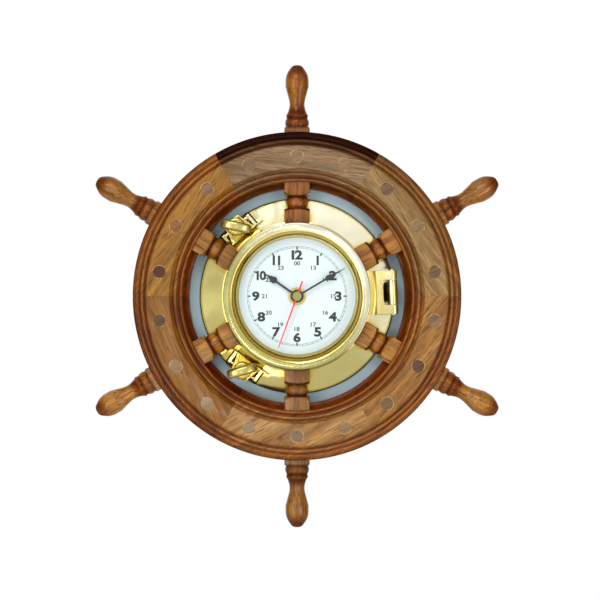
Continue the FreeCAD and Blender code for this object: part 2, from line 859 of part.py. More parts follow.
def cove(outer_radius, outer_depth, half_width):
    """Hollow between the ring's wall and a lower block, cut straight along its outer side."""
    inner = door_opening_radius + glass_seat_width + door_edge_round
    top = door_front - cove_top_drop
    pen = Pen(lathe_plane, inner, door_back)
    reach = math.hypot(outer_radius, half_width)
    pen.line(reach, door_back)
    pen.line(reach, outer_depth)
    pen.bow(door_radius, top, -cove_sag)
    pen.line(inner, top)
    sweep = 2 * math.degrees(math.atan2(half_width, door_radius / 2))
    hollow = turned_by(revolved(pen.face(), sweep), -sweep / 2)
    return hollow.common(block(0, outer_radius, door_back, top, -half_width, half_width))


def door_profile():
    outer = door_radius + door_draft
    bevel_depth = glass_seat_depth + door_edge_round
    pen = Pen(lathe_plane, glass_seat_radius, door_back)
    pen.line(outer, door_back)
    pen.line(door_radius, door_front - door_edge_round)
    pen.bow(door_radius - door_edge_round, door_front, -door_edge_round * round_share)
    pen.line(door_radius - door_face_width, door_front)
    pen.bow(door_opening_radius + glass_seat_width - door_edge_round / 3, door_front - door_edge_round,
            -door_edge_round / 8)
    pen.line(door_opening_radius, bevel_depth + door_edge_round / 3)
    pen.line(door_opening_radius, glass_seat_depth)
    pen.line(glass_seat_radius, glass_seat_depth)
    return pen.face()


def hinge_fork():
    """Block on the ring's side whose two arms stand beside the knuckle."""
    half = hinge_block_length / 2
    front = door_back + hinge_block_thickness
    start = glass_seat_radius + door_edge_round
    pen = Pen(side_plane(-half), start, door_back)
    pen.line(hinge_axis_radius, door_back)
    pen.line(hinge_axis_radius, front)
    pen.line(start, front)
    arms = tangent_prism(pen.face(), half)
    ends = along_tangent(hinge_barrel_radius, hinge_axis_radius, hinge_axis_depth, half)
    fork = joined([arms, ends])
    fork = fork.makeFillet(brass_edge_round, edges_at(fork, front))
    half_slot = hinge_knuckle_length / 2 + hinge_side_gap
    slot = plate(hinge_axis_radius - hinge_barrel_radius - hinge_slot_clearance,
                 hinge_axis_radius + hinge_barrel_radius + cut_margin, 0, front + cut_margin,
                 -half_slot, half_slot, hinge_slot_corner)
    bore = along_tangent(hinge_pin_radius + screw_hole_clearance, hinge_axis_radius, hinge_axis_depth, half)
    return joined([fork, cove(hinge_block_start_radius, front - brass_edge_round, half)]).cut([slot, bore])


def lug():
    """Tapered lug with a raised edge, forked at its tip for the dog's shank.

    Its tip falls away about the dog's pivot, so that a slack dog swings out over it.
    """
    def outline(inset):
        base = lug_base_radius - inset
        tip = lug_tip_radius - inset
        wide = lug_base_half_width - inset
        narrow = lug_tip_half_width - inset
        start = glass_seat_radius + door_edge_round
        corner = lug_rail_width / 2
        pen = Pen(face_plane(door_back), start, -wide)
        pen.line(base, -wide)
        pen.bow(tip - corner, -narrow, lug_side_sag)
        pen.bow(tip, -narrow + corner, -corner * round_share)
        pen.line(tip, narrow - corner)
        pen.bow(tip - corner, narrow, -corner * round_share)
        pen.bow(base, wide, lug_side_sag)
        pen.line(start, wide)
        return pen.face()
    body = outline(0).extrude(FRONT * (lug_thickness + lug_rail_height))
    body = body.makeFillet(lug_rail_height / 3, edges_at(body, lug_top + lug_rail_height))
    inner = outline(lug_rail_width).translated(FRONT * lug_thickness).extrude(FRONT * lug_rail_height)
    inner = inner.cut(block(0, lug_base_radius + lug_rail_width / 2, 0, door_front,
                            -lug_base_half_width, lug_base_half_width))
    half_seat = lug_tip_half_width - lug_rail_width
    open_tip = block(dog_radius, lug_tip_radius + cut_margin, lug_top, door_front, -half_seat, half_seat)
    body = body.cut([inner, open_tip])
    for swept_depth, half_width in ((dog_washer_back, washer_radius + washer_gap),
                                    (nut_back, lug_base_half_width)):
        swept_radius = swept_depth - dog_pivot_depth - running_clearance
        over = block(dog_radius, lug_tip_radius + cut_margin, lug_top - lug_thickness, door_front,
                     -half_width, half_width)
        body = body.cut(over.cut(along_tangent(swept_radius, dog_radius, dog_pivot_depth, half_width)))
    half_slot = dog_shank_radius + lug_slot_clearance
    slot = block(dog_radius, lug_tip_radius + cut_margin, 0, door_front, -half_slot, half_slot)
    end = disc(half_slot, 0, door_front, dog_radius, 0)
    hollow = cove(lug_base_radius, lug_top + lug_rail_height * 0.5, lug_base_half_width)
    return joined([body, hollow]).cut([slot, end])


def door_ring():
    pieces = [revolved(door_profile()), turned_by(hinge_fork(), porthole_turn)]
    pieces += [turned_by(lug(), bearing) for bearing in dog_bearings.values()]
    body = joined(pieces)
    seat = disc(glass_seat_radius, door_back, glass_seat_depth)
    opening = disc(door_opening_radius, door_back, door_front)
    return body.cut([seat, opening])


def glass_retainer():
    """Ring screwed in behind the glass, with two slots for a spanner."""
    body = ring(glass_seat_radius - screw_hole_clearance, door_opening_radius, retainer_back, glass_back)
    half = retainer_notch_width / 2
    notch = block(-glass_seat_radius, glass_seat_radius, retainer_back,
                  retainer_back + retainer_notch_depth, -half, half)
    return body.cut(notch)


write("door_ring", [door_ring()])
glass_radius = glass_seat_radius - glass_radial_gap
write("door_glass", [disc(glass_radius, glass_back, glass_front)])
write("glass_gasket", [ring(glass_radius, door_opening_radius, glass_front, glass_seat_depth)])
write("glass_retainer", [glass_retainer()])
half_fork = hinge_block_length / 2
pin_heads = [Part.makeCylinder(hinge_pin_head_radius, hinge_pin_head_height,
                               place(hinge_axis_radius, hinge_axis_depth, z), UP)
             for z in (-half_fork - hinge_pin_head_height, half_fork)]
pin_shank = along_tangent(hinge_pin_radius, hinge_axis_radius, hinge_axis_depth, half_fork)
write("hinge_pin", [turned_by(joined([pin_shank] + pin_heads), porthole_turn)])


# Dogs: swing bolts, washers and ring nuts that clamp the door

def dog_bolt():
    barrel = along_tangent(dog_barrel_radius, dog_radius, dog_pivot_depth, ear_inner_side - ear_gap)
    tip_length = dog_shank_radius / 3
    shank = disc(dog_shank_radius, dog_pivot_depth, dog_shank_top - tip_length, dog_radius, 0)
    tip = Part.makeCone(dog_shank_radius, dog_shank_radius - tip_length, tip_length,
                        place(dog_radius, dog_shank_top - tip_length, 0), FRONT)
    bore = along_tangent(dog_pin_radius + running_clearance, dog_radius, dog_pivot_depth, ear_inner_side)
    return joined([barrel, shank, tip]).cut(bore)


def dog_washer():
    return ring(washer_radius, dog_shank_radius + washer_bore_clearance, dog_washer_back,
                dog_washer_front, dog_radius, 0)


def ring_nut(turn):
    """Fluted collar with an upright oval finger ring, turned about its own axis."""
    pen = Pen(lathe_plane, 0, nut_back)
    pen.line(nut_collar_radius, nut_back)
    pen.line(nut_collar_radius, nut_collar_top - nut_collar_height / 2)
    pen.bow(nut_neck_radius, nut_collar_top, -nut_collar_height / 8)
    pen.line(0, nut_collar_top)
    collar = revolved(pen.face())
    flutes = []
    for index in range(nut_flute_count):
        x, z = polar(nut_collar_radius + nut_flute_radius / 3, index * 360.0 / nut_flute_count)
        flutes.append(disc(nut_flute_radius, nut_back, nut_collar_top, x, z))
    collar = collar.cut(flutes)
    middle = nut_collar_top - nut_ring_sink + nut_ring_height / 2

    def oval(half_length, half_height):
        plane = ring_plane(-nut_ring_width / 2)
        curve = Part.Ellipse(plane(half_length, middle), plane(0, middle + half_height), plane(0, middle))
        return Part.Face(Part.Wire(curve.toShape())).extrude(RIGHT * nut_ring_width)

    loop = oval(nut_ring_half_length, nut_ring_height / 2)
    loop = loop.makeFillet(nut_ring_round, edges_of(loop, "Part::GeomEllipse"))
    loop = loop.cut(oval(nut_ring_hole_half_length, nut_ring_hole_height / 2))
    loop = loop.common(block(-nut_ring_half_length, nut_ring_half_length, nut_back + nut_collar_height / 2,
                             middle + nut_ring_height, -nut_ring_half_length, nut_ring_half_length))
    bore = disc(dog_shank_radius + running_clearance, nut_back, middle)
    nut = joined([collar, loop]).cut(bore)
    nut = nut.rotated(CENTRE, FRONT, turn)
    return nut.translated(RIGHT * dog_radius)


for name, bearing in dog_bearings.items():
    side = 1 if name == "lower" else -1
    write(name + "_dog_bolt", [turned_by(dog_bolt(), bearing)])
    write(name + "_dog_washer", [turned_by(dog_washer(), bearing)])
    write(name + "_dog_nut", [turned_by(ring_nut(side * nut_turn_from_tangent), bearing)])


# Dial and its fixings

def dial_ring():
    """Ring on the dial's edge that slopes down to the print."""
    pen = Pen(lathe_plane, dial_ring_inner_radius, dial_front)
    pen.line(dial_radius, dial_front)
    pen.line(dial_radius, dial_front + dial_ring_height)
    pen.line(dial_ring_inner_radius + dial_ring_bevel_width, dial_front + dial_ring_height)
    pen.line(dial_ring_inner_radius, dial_front + dial_ring_lip)
    return revolved(pen.face())


def hexagon(radius, back, front):
    pen = Pen(face_plane(back), radius, 0)
    for corner in range(1, 6):
        pen.line(*polar(radius, corner * 60.0))
    return pen.face().extrude(FRONT * (front - back))


bushing_seat = bushing_radius + screw_hole_clearance
write("dial", [ring(dial_radius, bushing_radius + bushing_hole_clearance, dial_back, dial_front)])
write("dial_ring", [dial_ring()])
write("dial_washer", [ring(dial_washer_radius, bushing_seat, dial_front, washer_front)])
nut_hole = disc(bushing_seat, washer_front, fixing_nut_front)
write("fixing_nut", [hexagon(fixing_nut_radius, washer_front, fixing_nut_front).cut(nut_hole)])
write("movement_washer", [ring(rubber_washer_radius, bushing_seat, case_front, dial_back)])


# Hands

def hand(back, length, stem_half_width, head_shares, head_half_width, hub_radius, bore_radius):
    """Flat hand that points at twelve, with a swelling head and a round hub."""
    right = [(share * head_half_width, along * length) for along, share in head_shares]
    left = [(-x, z) for x, z in reversed(right)]
    pen = Pen(face_plane(back), -stem_half_width, 0)
    pen.line(stem_half_width, 0)
    pen.line(*right[0])
    pen.curve(right, (1, 1), (-1, 9))
    pen.line(*left[0])
    pen.curve(left, (-1, -9), (1, -1))
    blade = pen.face().extrude(FRONT * hand_thickness)
    hub = disc(hub_radius, back, back + hand_thickness)
    return joined([blade, hub]).cut(disc(bore_radius, back, back + hand_thickness))


def second_hand(back):
    pen = Pen(face_plane(back), -second_stem_half_width, -second_tail_length)
    pen.line(second_stem_half_width, -second_tail_length)
    pen.line(second_stem_half_width, 0)
    pen.line(second_tip_half_width, second_hand_length)
    pen.line(-second_tip_half_width, second_hand_length)
    pen.line(-second_stem_half_width, 0)
    blade = pen.face().extrude(FRONT * hand_thickness)
    hub = disc(second_hub_radius, back, second_hand_front)
    return joined([blade, hub]).cut(disc(second_arbor_radius + hand_seat_gap, back, second_hand_front))


second_hand_front = second_hand_back + hand_thickness
second_cap_front = second_hand_front + second_cap_height
second_recess = second_cap_front - second_cap_recess_depth
second_arbor_front = second_recess - second_cap_recess_depth
hour_turn = -(shown_hours * 30.0 + shown_minutes / 2)
minute_turn = -shown_minutes * 6.0
second_turn = -shown_seconds * 6.0
hour_hand = hand(hour_hand_back, hour_hand_length, hour_stem_half_width, hour_head_shares,
                 hour_head_half_width, hour_hub_radius, hour_pipe_radius + hand_seat_gap)
minute_hand = hand(minute_hand_back, minute_hand_length, minute_stem_half_width, minute_head_shares,
                   minute_head_half_width, minute_hub_radius, cannon_radius + hand_seat_gap)
write("hour_hand", [turned_by(hour_hand, hour_turn)])
write("minute_hand", [turned_by(minute_hand, minute_turn)])
write("second_hand", [turned_by(second_hand(second_hand_back), second_turn)])
cap = disc(second_cap_radius, second_hand_front, second_cap_front)
write("second_hand_cap", [cap.cut([
    disc(second_cap_recess_radius, second_recess, second_cap_front),
    disc(second_arbor_radius + hand_seat_gap, second_hand_front, second_arbor_front)])])


# Gear train

def toothed(teeth, module, back, length, axis, phase):
    """Wheel or pinion about an axis; phase is the bearing of the middle of one tooth."""
    middle_radius = module * teeth / 2
    root = middle_radius - dedendum_share * module
    tip = middle_radius + addendum_share * module
    pitch = 360.0 / teeth
    flank = [(root, -root_width_share), (middle_radius, -pitch_width_share), (tip, -tip_width_share),
             (tip, tip_width_share), (middle_radius, pitch_width_share), (root, root_width_share)]
    points = []
    for index in range(teeth):
        for radius, width_share in flank:
            x, z = polar(radius, phase + pitch * (index + width_share / 2))
            points.append(place(axis[0] + x, back, axis[1] + z))
    outline = Part.makePolygon(points + points[:1])
    return Part.Face(outline).extrude(FRONT * length)


def pinion(teeth, module, layer, axis, phase):
    return toothed(teeth, module, layer - pinion_drop, pinion_length, axis, phase)


def meshed(bearing, driver_phase, driver_teeth, driven_teeth):
    """Phase of a driven wheel that lies at a bearing from its driver and meshes with it."""
    driver_pitch = 360.0 / driver_teeth
    driven_pitch = 360.0 / driven_teeth
    share = ((bearing - driver_phase) / driver_pitch) % 1
    return bearing + 180.0 - (0.5 - share) * driven_pitch


def centre_distance(module, first_teeth, second_teeth):
    return module * (first_teeth + second_teeth) / 2


def axis_from(axis, distance, bearing):
    x, z = polar(distance, bearing)
    return axis[0] + x, axis[1] + z


centre_axis = (0, 0)
intermediate_axis = axis_from(centre_axis, centre_distance(train_module, intermediate_pinion_teeth,
                                                           second_wheel_teeth), intermediate_bearing)
rotor_axis = axis_from(intermediate_axis, centre_distance(train_module, rotor_pinion_teeth,
                                                          intermediate_teeth), rotor_bearing)
third_distance = centre_distance(train_module, second_pinion_teeth, third_wheel_teeth)
third_axis = axis_from(centre_axis, third_distance, third_bearing)
centre_module = 2 * third_distance / (third_pinion_teeth + centre_wheel_teeth)
motion_distance = centre_distance(motion_module, cannon_pinion_teeth, motion_wheel_teeth)
motion_axis = axis_from(centre_axis, motion_distance, motion_bearing)
hour_module = 2 * motion_distance / (motion_pinion_teeth + hour_wheel_teeth)
knob_axis = axis_from(motion_axis, centre_distance(motion_module, knob_pinion_teeth, motion_wheel_teeth),
                      knob_bearing)

intermediate_phase = meshed(intermediate_bearing, 0, second_wheel_teeth, intermediate_pinion_teeth)
rotor_phase = meshed(rotor_bearing, intermediate_phase, intermediate_teeth, rotor_pinion_teeth)
third_phase = meshed(third_bearing, 0, second_pinion_teeth, third_wheel_teeth)
centre_phase = meshed(third_bearing + 180.0, third_phase, third_pinion_teeth, centre_wheel_teeth)
motion_phase = meshed(motion_bearing, 0, cannon_pinion_teeth, motion_wheel_teeth)
hour_phase = meshed(motion_bearing + 180.0, motion_phase, motion_pinion_teeth, hour_wheel_teeth)
knob_phase = meshed(knob_bearing, motion_phase, motion_wheel_teeth, knob_pinion_teeth)

arbor_back = case_floor + end_play
arbor_front = case_ceiling - end_play


def arbor(axis):
    return disc(arbor_radius, arbor_back, arbor_front, *axis)


magnet = disc(magnet_radius, magnet_back, magnet_back + magnet_thickness, *rotor_axis)
write("rotor", [joined([
    arbor(rotor_axis), magnet,
    pinion(rotor_pinion_teeth, train_module, intermediate_layer, rotor_axis, rotor_phase)])])
write("intermediate_wheel", [joined([
    arbor(intermediate_axis),
    toothed(intermediate_teeth, train_module, intermediate_layer, wheel_thickness, intermediate_axis,
            intermediate_phase),
    pinion(intermediate_pinion_teeth, train_module, second_layer, intermediate_axis,
           intermediate_phase)])])
write("second_wheel", [joined([
    disc(second_arbor_radius, arbor_back, second_arbor_front),
    toothed(second_wheel_teeth, train_module, second_layer, wheel_thickness, centre_axis, 0),
    pinion(second_pinion_teeth, train_module, third_layer, centre_axis, 0)])])
write("third_wheel", [joined([
    arbor(third_axis),
    toothed(third_wheel_teeth, train_module, third_layer, wheel_thickness, third_axis, third_phase),
    pinion(third_pinion_teeth, centre_module, centre_layer, third_axis, third_phase)])])
centre_wheel = toothed(centre_wheel_teeth, centre_module, centre_layer, wheel_thickness, centre_axis,
                       centre_phase)
centre_wheel_front = centre_layer + wheel_thickness
write("centre_wheel", [centre_wheel.cut(disc(cannon_radius + running_clearance, centre_layer,
                                             centre_wheel_front))])
cannon_back = centre_layer - pinion_drop
cannon_front = minute_hand_back + hand_thickness
cannon = joined([disc(cannon_radius, cannon_back, cannon_front),
                 pinion(cannon_pinion_teeth, motion_module, motion_layer, centre_axis, 0)])
write("minute_cannon", [cannon.cut(disc(cannon_bore, cannon_back, cannon_front))])
motion_hub_radius = hour_module * (motion_pinion_teeth / 2 - dedendum_share)
motion_wheel = joined([
    disc(motion_hub_radius, motion_layer, arbor_front, *motion_axis),
    toothed(motion_wheel_teeth, motion_module, motion_layer, wheel_thickness, motion_axis, motion_phase),
    pinion(motion_pinion_teeth, hour_module, hour_layer, motion_axis, motion_phase)])
write("motion_wheel", [motion_wheel.cut(disc(stud_radius + running_clearance, motion_layer, arbor_front,
                                             *motion_axis))])
hour_front = hour_hand_back + hand_thickness
hour_wheel = joined([
    disc(hour_pipe_radius, hour_layer, hour_front),
    toothed(hour_wheel_teeth, hour_module, hour_layer, wheel_thickness, centre_axis, hour_phase)])
write("hour_wheel", [hour_wheel.cut(disc(hour_pipe_bore, hour_layer, hour_front))])

knob_front = case_back - knob_gap
knob_back = knob_front - knob_height
knob_pinion_front = motion_layer - pinion_drop + pinion_length
knob_grip = disc(knob_radius, knob_back, knob_front, *knob_axis)
knob_flutes = []
for index in range(knob_flute_count):
    x, z = axis_from(knob_axis, knob_radius, index * 360.0 / knob_flute_count)
    knob_flutes.append(disc(knob_flute_radius, knob_back, knob_front, x, z))
write("setting_knob", [joined([
    knob_grip.cut(knob_flutes),
    disc(knob_stem_radius, knob_front, knob_pinion_front, *knob_axis),
    disc(arbor_radius, knob_pinion_front, arbor_front, *knob_axis),
    pinion(knob_pinion_teeth, motion_module, motion_layer, knob_axis, knob_phase)])])


# Movement case, its battery and its electric parts

battery_half_length = (battery_length + battery_button_length) / 2
stator_front = magnet_back + stator_thickness
core_depth = magnet_back + stator_thickness / 2


def boss(bore_radius, back, front, axis):
    return ring(bore_radius + boss_wall, bore_radius, back, front, *axis)


def half_case(back, front, inner_back, inner_front):
    """Half of the case, with its share of the wall beside the battery."""
    outer = plate(-case_width / 2, case_width / 2, back, front,
                  -case_height / 2, case_height / 2, case_corner)
    room = plate(-inner_half_width, inner_half_width, inner_back, inner_front,
                 -inner_half_height, inner_half_height, case_corner - case_wall)
    wall = block(-inner_half_width, inner_half_width, inner_back, inner_front, bay_top, bay_top + bay_wall)
    return joined([outer.cut(room), wall])


def movement_case_front():
    added = [disc(bushing_radius, case_ceiling, bushing_front),
             disc(stud_radius, motion_layer - end_play, case_ceiling, *motion_axis)]
    for axis in (rotor_axis, intermediate_axis, third_axis, knob_axis):
        added.append(boss(arbor_radius + running_clearance, case_ceiling - boss_height, case_ceiling, axis))
    shell = joined([half_case(case_middle, case_front, case_middle, case_ceiling)] + added)
    return shell.cut(disc(bushing_bore, case_ceiling, bushing_front))


def movement_case_back():
    added = [boss(second_arbor_radius + running_clearance, case_floor, case_floor + boss_height, centre_axis)]
    for axis in (rotor_axis, intermediate_axis, third_axis):
        added.append(boss(arbor_radius + running_clearance, case_floor, case_floor + boss_height, axis))
    for left in (stator_left, stator_right - stator_arm_width):
        added.append(disc(post_radius, case_floor, magnet_back, left + stator_arm_width / 2,
                          coil_height - post_drop))
    shell = joined([half_case(case_back, case_middle, case_floor, case_middle)] + added)
    half = battery_half_length + part_gap
    window = block(-half, half, case_back, case_floor, -inner_half_height, bay_top)
    return shell.cut([window, disc(knob_stem_radius + running_clearance, case_back, case_floor, *knob_axis)])


def along_width(radius, x_low, x_high, depth, z):
    return Part.makeCylinder(radius, x_high - x_low, place(x_low, depth, z), RIGHT)


def battery():
    can_end = battery_half_length - battery_button_length
    can = along_width(battery_radius, -battery_half_length, can_end, battery_depth, battery_z)
    can = can.makeFillet(battery_edge_round, edges_of(can, "Part::GeomCircle"))
    button = along_width(battery_button_radius, can_end, battery_half_length, battery_depth, battery_z)
    return joined([can, button])


def battery_contact(side):
    """Leaf on the end wall of the battery's bay, with a bump that meets the battery."""
    low, high = sorted([side * (inner_half_width - contact_thickness), side * inner_half_width])
    half = contact_width / 2
    leaf = block(low, high, battery_depth - half, battery_depth + half, battery_z - half, battery_z + half)
    low, high = sorted([side * (battery_half_length + part_gap),
                        side * (inner_half_width - contact_thickness)])
    return joined([leaf, along_width(contact_bump_radius, low, high, battery_depth, battery_z)])


def stator():
    """Flat plate with two arms, a round eye about the magnet, and the coil's core between the arms."""
    top = coil_height + stator_top_margin
    bar_top = stator_bottom + stator_bar_height
    arms = [block(left, left + stator_arm_width, magnet_back, stator_front, stator_bottom, top)
            for left in (stator_left, stator_right - stator_arm_width)]
    bar = block(stator_left, stator_right, magnet_back, stator_front, stator_bottom, bar_top)
    lobe = disc(stator_lobe_radius, magnet_back, stator_front, *rotor_axis)
    core = along_width(coil_core_radius, stator_left, stator_right, core_depth, coil_height)
    eye = disc(magnet_radius + stator_magnet_gap, magnet_back, stator_front, *rotor_axis)
    return joined(arms + [bar, lobe, core]).cut(eye)


def coil():
    left = stator_left + stator_arm_width + part_gap
    right = stator_right - stator_arm_width - part_gap
    winding = along_width(coil_radius, left, right, core_depth, coil_height)
    flanges = [along_width(coil_flange_radius, low, low + coil_flange_thickness, core_depth, coil_height)
               for low in (left, right - coil_flange_thickness)]
    bore = along_width(coil_core_radius + screw_hole_clearance, left, right, core_depth, coil_height)
    return joined([winding] + flanges).cut(bore)


write("movement_case_front", [movement_case_front()])
write("movement_case_back", [movement_case_back()])
write("battery", [battery()])
write("battery_contacts", [battery_contact(side) for side in (-1, 1)])
write("stator", [stator()])
write("coil", [coil()])
board_rest = case_floor + part_gap
chip_back = board_rest + circuit_board_thickness
board_right = circuit_board_left + circuit_board_width
board_top = circuit_board_bottom + circuit_board_height
chip_middle = circuit_board_bottom + circuit_board_height / 3
board_middle = circuit_board_left + circuit_board_width / 2
write("circuit_board", [joined([
    block(circuit_board_left, board_right, board_rest, chip_back, circuit_board_bottom, board_top),
    block(board_middle - chip_side / 2, board_middle + chip_side / 2, chip_back, chip_back + chip_thickness,
          chip_middle - chip_side / 2, chip_middle + chip_side / 2)])])
crystal_bottom = board_top - crystal_length - chip_side / 2
write("quartz_crystal", [Part.makeCylinder(crystal_radius, crystal_length, place(
    board_middle, chip_back + crystal_radius, crystal_bottom), UP)])
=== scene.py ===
import math

import bmesh
import bpy
from mathutils import Matrix, Vector


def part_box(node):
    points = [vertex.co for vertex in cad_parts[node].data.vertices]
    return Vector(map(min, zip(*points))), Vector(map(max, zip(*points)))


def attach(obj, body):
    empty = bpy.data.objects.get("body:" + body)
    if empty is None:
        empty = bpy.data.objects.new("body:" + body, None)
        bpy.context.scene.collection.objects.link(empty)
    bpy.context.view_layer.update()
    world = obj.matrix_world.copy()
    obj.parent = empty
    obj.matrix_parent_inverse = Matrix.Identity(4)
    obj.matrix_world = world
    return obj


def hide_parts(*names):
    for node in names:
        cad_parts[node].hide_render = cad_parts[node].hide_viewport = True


# The frame: the clock's own CAD model, packed, with one body for the wheel and one for each
# piece that moves. Blender counts in metres, so sizes in millimetres are multiplied by one, and
# distances from the wheel's middle start where the backboard's centre is.
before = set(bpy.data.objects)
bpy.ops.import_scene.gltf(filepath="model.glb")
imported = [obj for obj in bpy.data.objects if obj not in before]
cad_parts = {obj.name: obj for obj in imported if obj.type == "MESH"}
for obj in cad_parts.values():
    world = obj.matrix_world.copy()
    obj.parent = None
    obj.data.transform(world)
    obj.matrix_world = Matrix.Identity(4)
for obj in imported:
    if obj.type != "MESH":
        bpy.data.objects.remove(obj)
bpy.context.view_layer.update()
board_low, board_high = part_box("backboard")
wheel_middle = (board_low + board_high) / 2
wheel_middle.y = 0
millimetre = 0.001


# The studio: a pale floor well below the wheel and a white backdrop that only the camera sees. The
# room is dim and warm at the sides, bright before and behind the wheel and overhead, with a soft
# lamp above, one at each side and two small ones that polished faces mirror.
def tint(red, green, blue):
    """Linear colour of a shade written as it shows on a screen, each part from 0 to 255."""
    linear = []
    for part in (red, green, blue):
        share = part / 255
        linear.append(share / 12.92 if share <= 0.04045 else ((share + 0.055) / 1.055) ** 2.4)
    return (*linear, 1.0)


def node_of(tree, kind, place=(0, 0), **settings):
    """New node in a tree, at a place on its sheet, with its settings."""
    made = tree.nodes.new(kind)
    made.location = place
    for name, value in settings.items():
        setattr(made, name, value)
    return made


def shades_of(tree, rows, place=(0, 0)):
    """Colour ramp whose rows each give a share, from 0 to 1 and rising, and its colour."""
    made = node_of(tree, "ShaderNodeValToRGB", place)
    ramp = made.color_ramp
    for end, (share, colour) in ((0, rows[0]), (1, rows[-1])):
        ramp.elements[end].position = share
        ramp.elements[end].color = (*colour[:3], 1)
    for share, colour in rows[1:-1]:
        ramp.elements.new(share).color = (*colour[:3], 1)
    return made


def new_material(name):
    """Material with one Principled shader, its node tree and that shader."""
    material = bpy.data.materials.new(name)
    material.use_nodes = True
    return material, material.node_tree, material.node_tree.nodes["Principled BSDF"]


def mesh_piece(name, mesh):
    """Object that holds a mesh, unturned and at the origin."""
    piece = bpy.data.objects.new(name, mesh)
    bpy.context.scene.collection.objects.link(piece)
    return piece


floor_drop = 0.62
floor_half_width = 1.5
floor_before = 0.9
floor_behind = 1.1
floor_material, _, floor_shader = new_material("pale_floor")
floor_shader.inputs["Base Color"].default_value = tint(236, 236, 234)
floor_shader.inputs["Roughness"].default_value = 0.7
floor_mesh = bpy.data.meshes.new("floor")
floor_z = wheel_middle.z - floor_drop
floor_corners = [
    (-floor_half_width, -floor_before, floor_z), (floor_half_width, -floor_before, floor_z),
    (floor_half_width, floor_behind, floor_z), (-floor_half_width, floor_behind, floor_z)]
floor_mesh.from_pydata(floor_corners, [], [(0, 1, 2, 3)])
floor_mesh.materials.append(floor_material)
floor = mesh_piece("floor", floor_mesh)

room_strength = 1.1
brightest_way = (0.12, -1.0, -0.22)
room_shades = [
    (0.12, (1.2, 1.2, 1.17)), (0.33, (0.13, 0.085, 0.03)), (0.40, (0.13, 0.085, 0.03)),
    (0.62, (0.32, 0.24, 0.12)), (0.80, (0.66, 0.63, 0.56)), (0.97, (1.0, 1.0, 1.0))]
ceiling_light = (0.6, 0.6, 0.6, 1)
ceiling_narrowness = 4.0
world = bpy.data.worlds.new("studio")
bpy.context.scene.world = world
world.use_nodes = True
world_tree = world.node_tree
room = world_tree.nodes["Background"]
backdrop = node_of(world_tree, "ShaderNodeBackground")
backdrop.inputs["Color"].default_value = (1, 1, 1, 1)
backdrop.inputs["Strength"].default_value = 1.0
direction = node_of(world_tree, "ShaderNodeTexCoord")
towards_front = node_of(world_tree, "ShaderNodeVectorMath", operation="DOT_PRODUCT")
towards_front.inputs[1].default_value = Vector(brightest_way).normalized()
facing = node_of(world_tree, "ShaderNodeMapRange")
facing.inputs["From Min"].default_value = -1.0
facing.inputs["From Max"].default_value = 1.0
shade = shades_of(world_tree, room_shades)
room.inputs["Strength"].default_value = room_strength
height = node_of(world_tree, "ShaderNodeSeparateXYZ")
upward = node_of(world_tree, "ShaderNodeMath", operation="MAXIMUM")
upward.inputs[1].default_value = 0.0
ceiling = node_of(world_tree, "ShaderNodeMath", operation="POWER")
ceiling.inputs[1].default_value = ceiling_narrowness
lit_above = node_of(world_tree, "ShaderNodeMix", data_type="RGBA", blend_type="ADD")
lit_above.inputs["B"].default_value = ceiling_light
rays = node_of(world_tree, "ShaderNodeLightPath")
chosen = node_of(world_tree, "ShaderNodeMixShader")
world_tree.links.new(direction.outputs["Generated"], towards_front.inputs[0])
world_tree.links.new(towards_front.outputs["Value"], facing.inputs["Value"])
world_tree.links.new(facing.outputs["Result"], shade.inputs["Fac"])
world_tree.links.new(direction.outputs["Generated"], height.inputs["Vector"])
world_tree.links.new(height.outputs["Z"], upward.inputs[0])
world_tree.links.new(upward.outputs["Value"], ceiling.inputs[0])
world_tree.links.new(ceiling.outputs["Value"], lit_above.inputs["Factor"])
world_tree.links.new(shade.outputs["Color"], lit_above.inputs["A"])
world_tree.links.new(lit_above.outputs["Result"], room.inputs["Color"])
world_tree.links.new(rays.outputs["Is Camera Ray"], chosen.inputs["Fac"])
world_tree.links.new(room.outputs["Background"], chosen.inputs[1])
world_tree.links.new(backdrop.outputs["Background"], chosen.inputs[2])
world_tree.links.new(chosen.outputs["Shader"], world_tree.nodes["World Output"].inputs["Surface"])


def soft_lamp(name, place, width, tall, power):
    """Rectangular lamp that faces the middle of the wheel."""
    lamp = bpy.data.lights.new(name, "AREA")
    lamp.shape = "RECTANGLE"
    lamp.size = width
    lamp.size_y = tall
    lamp.energy = power
    holder = bpy.data.objects.new(name, lamp)
    holder.location = wheel_middle + Vector(place)
    holder.rotation_euler = Vector(place).to_track_quat("Z", "Y").to_euler()
    bpy.context.scene.collection.objects.link(holder)


soft_lamp("lamp_above", (-0.5, -1.9, 1.3), width=1.4, tall=0.7, power=20)
soft_lamp("lamp_left", (-1.3, -2.0, -0.2), width=0.6, tall=1.4, power=13)
soft_lamp("lamp_right", (1.4, -1.9, -0.6), width=0.6, tall=1.4, power=14)
soft_lamp("lamp_low", (-0.21, -3.0, -0.27), width=0.26, tall=0.11, power=2.2)
soft_lamp("lamp_high", (0.05, -3.0, 0.31), width=0.3, tall=0.05, power=0.5)

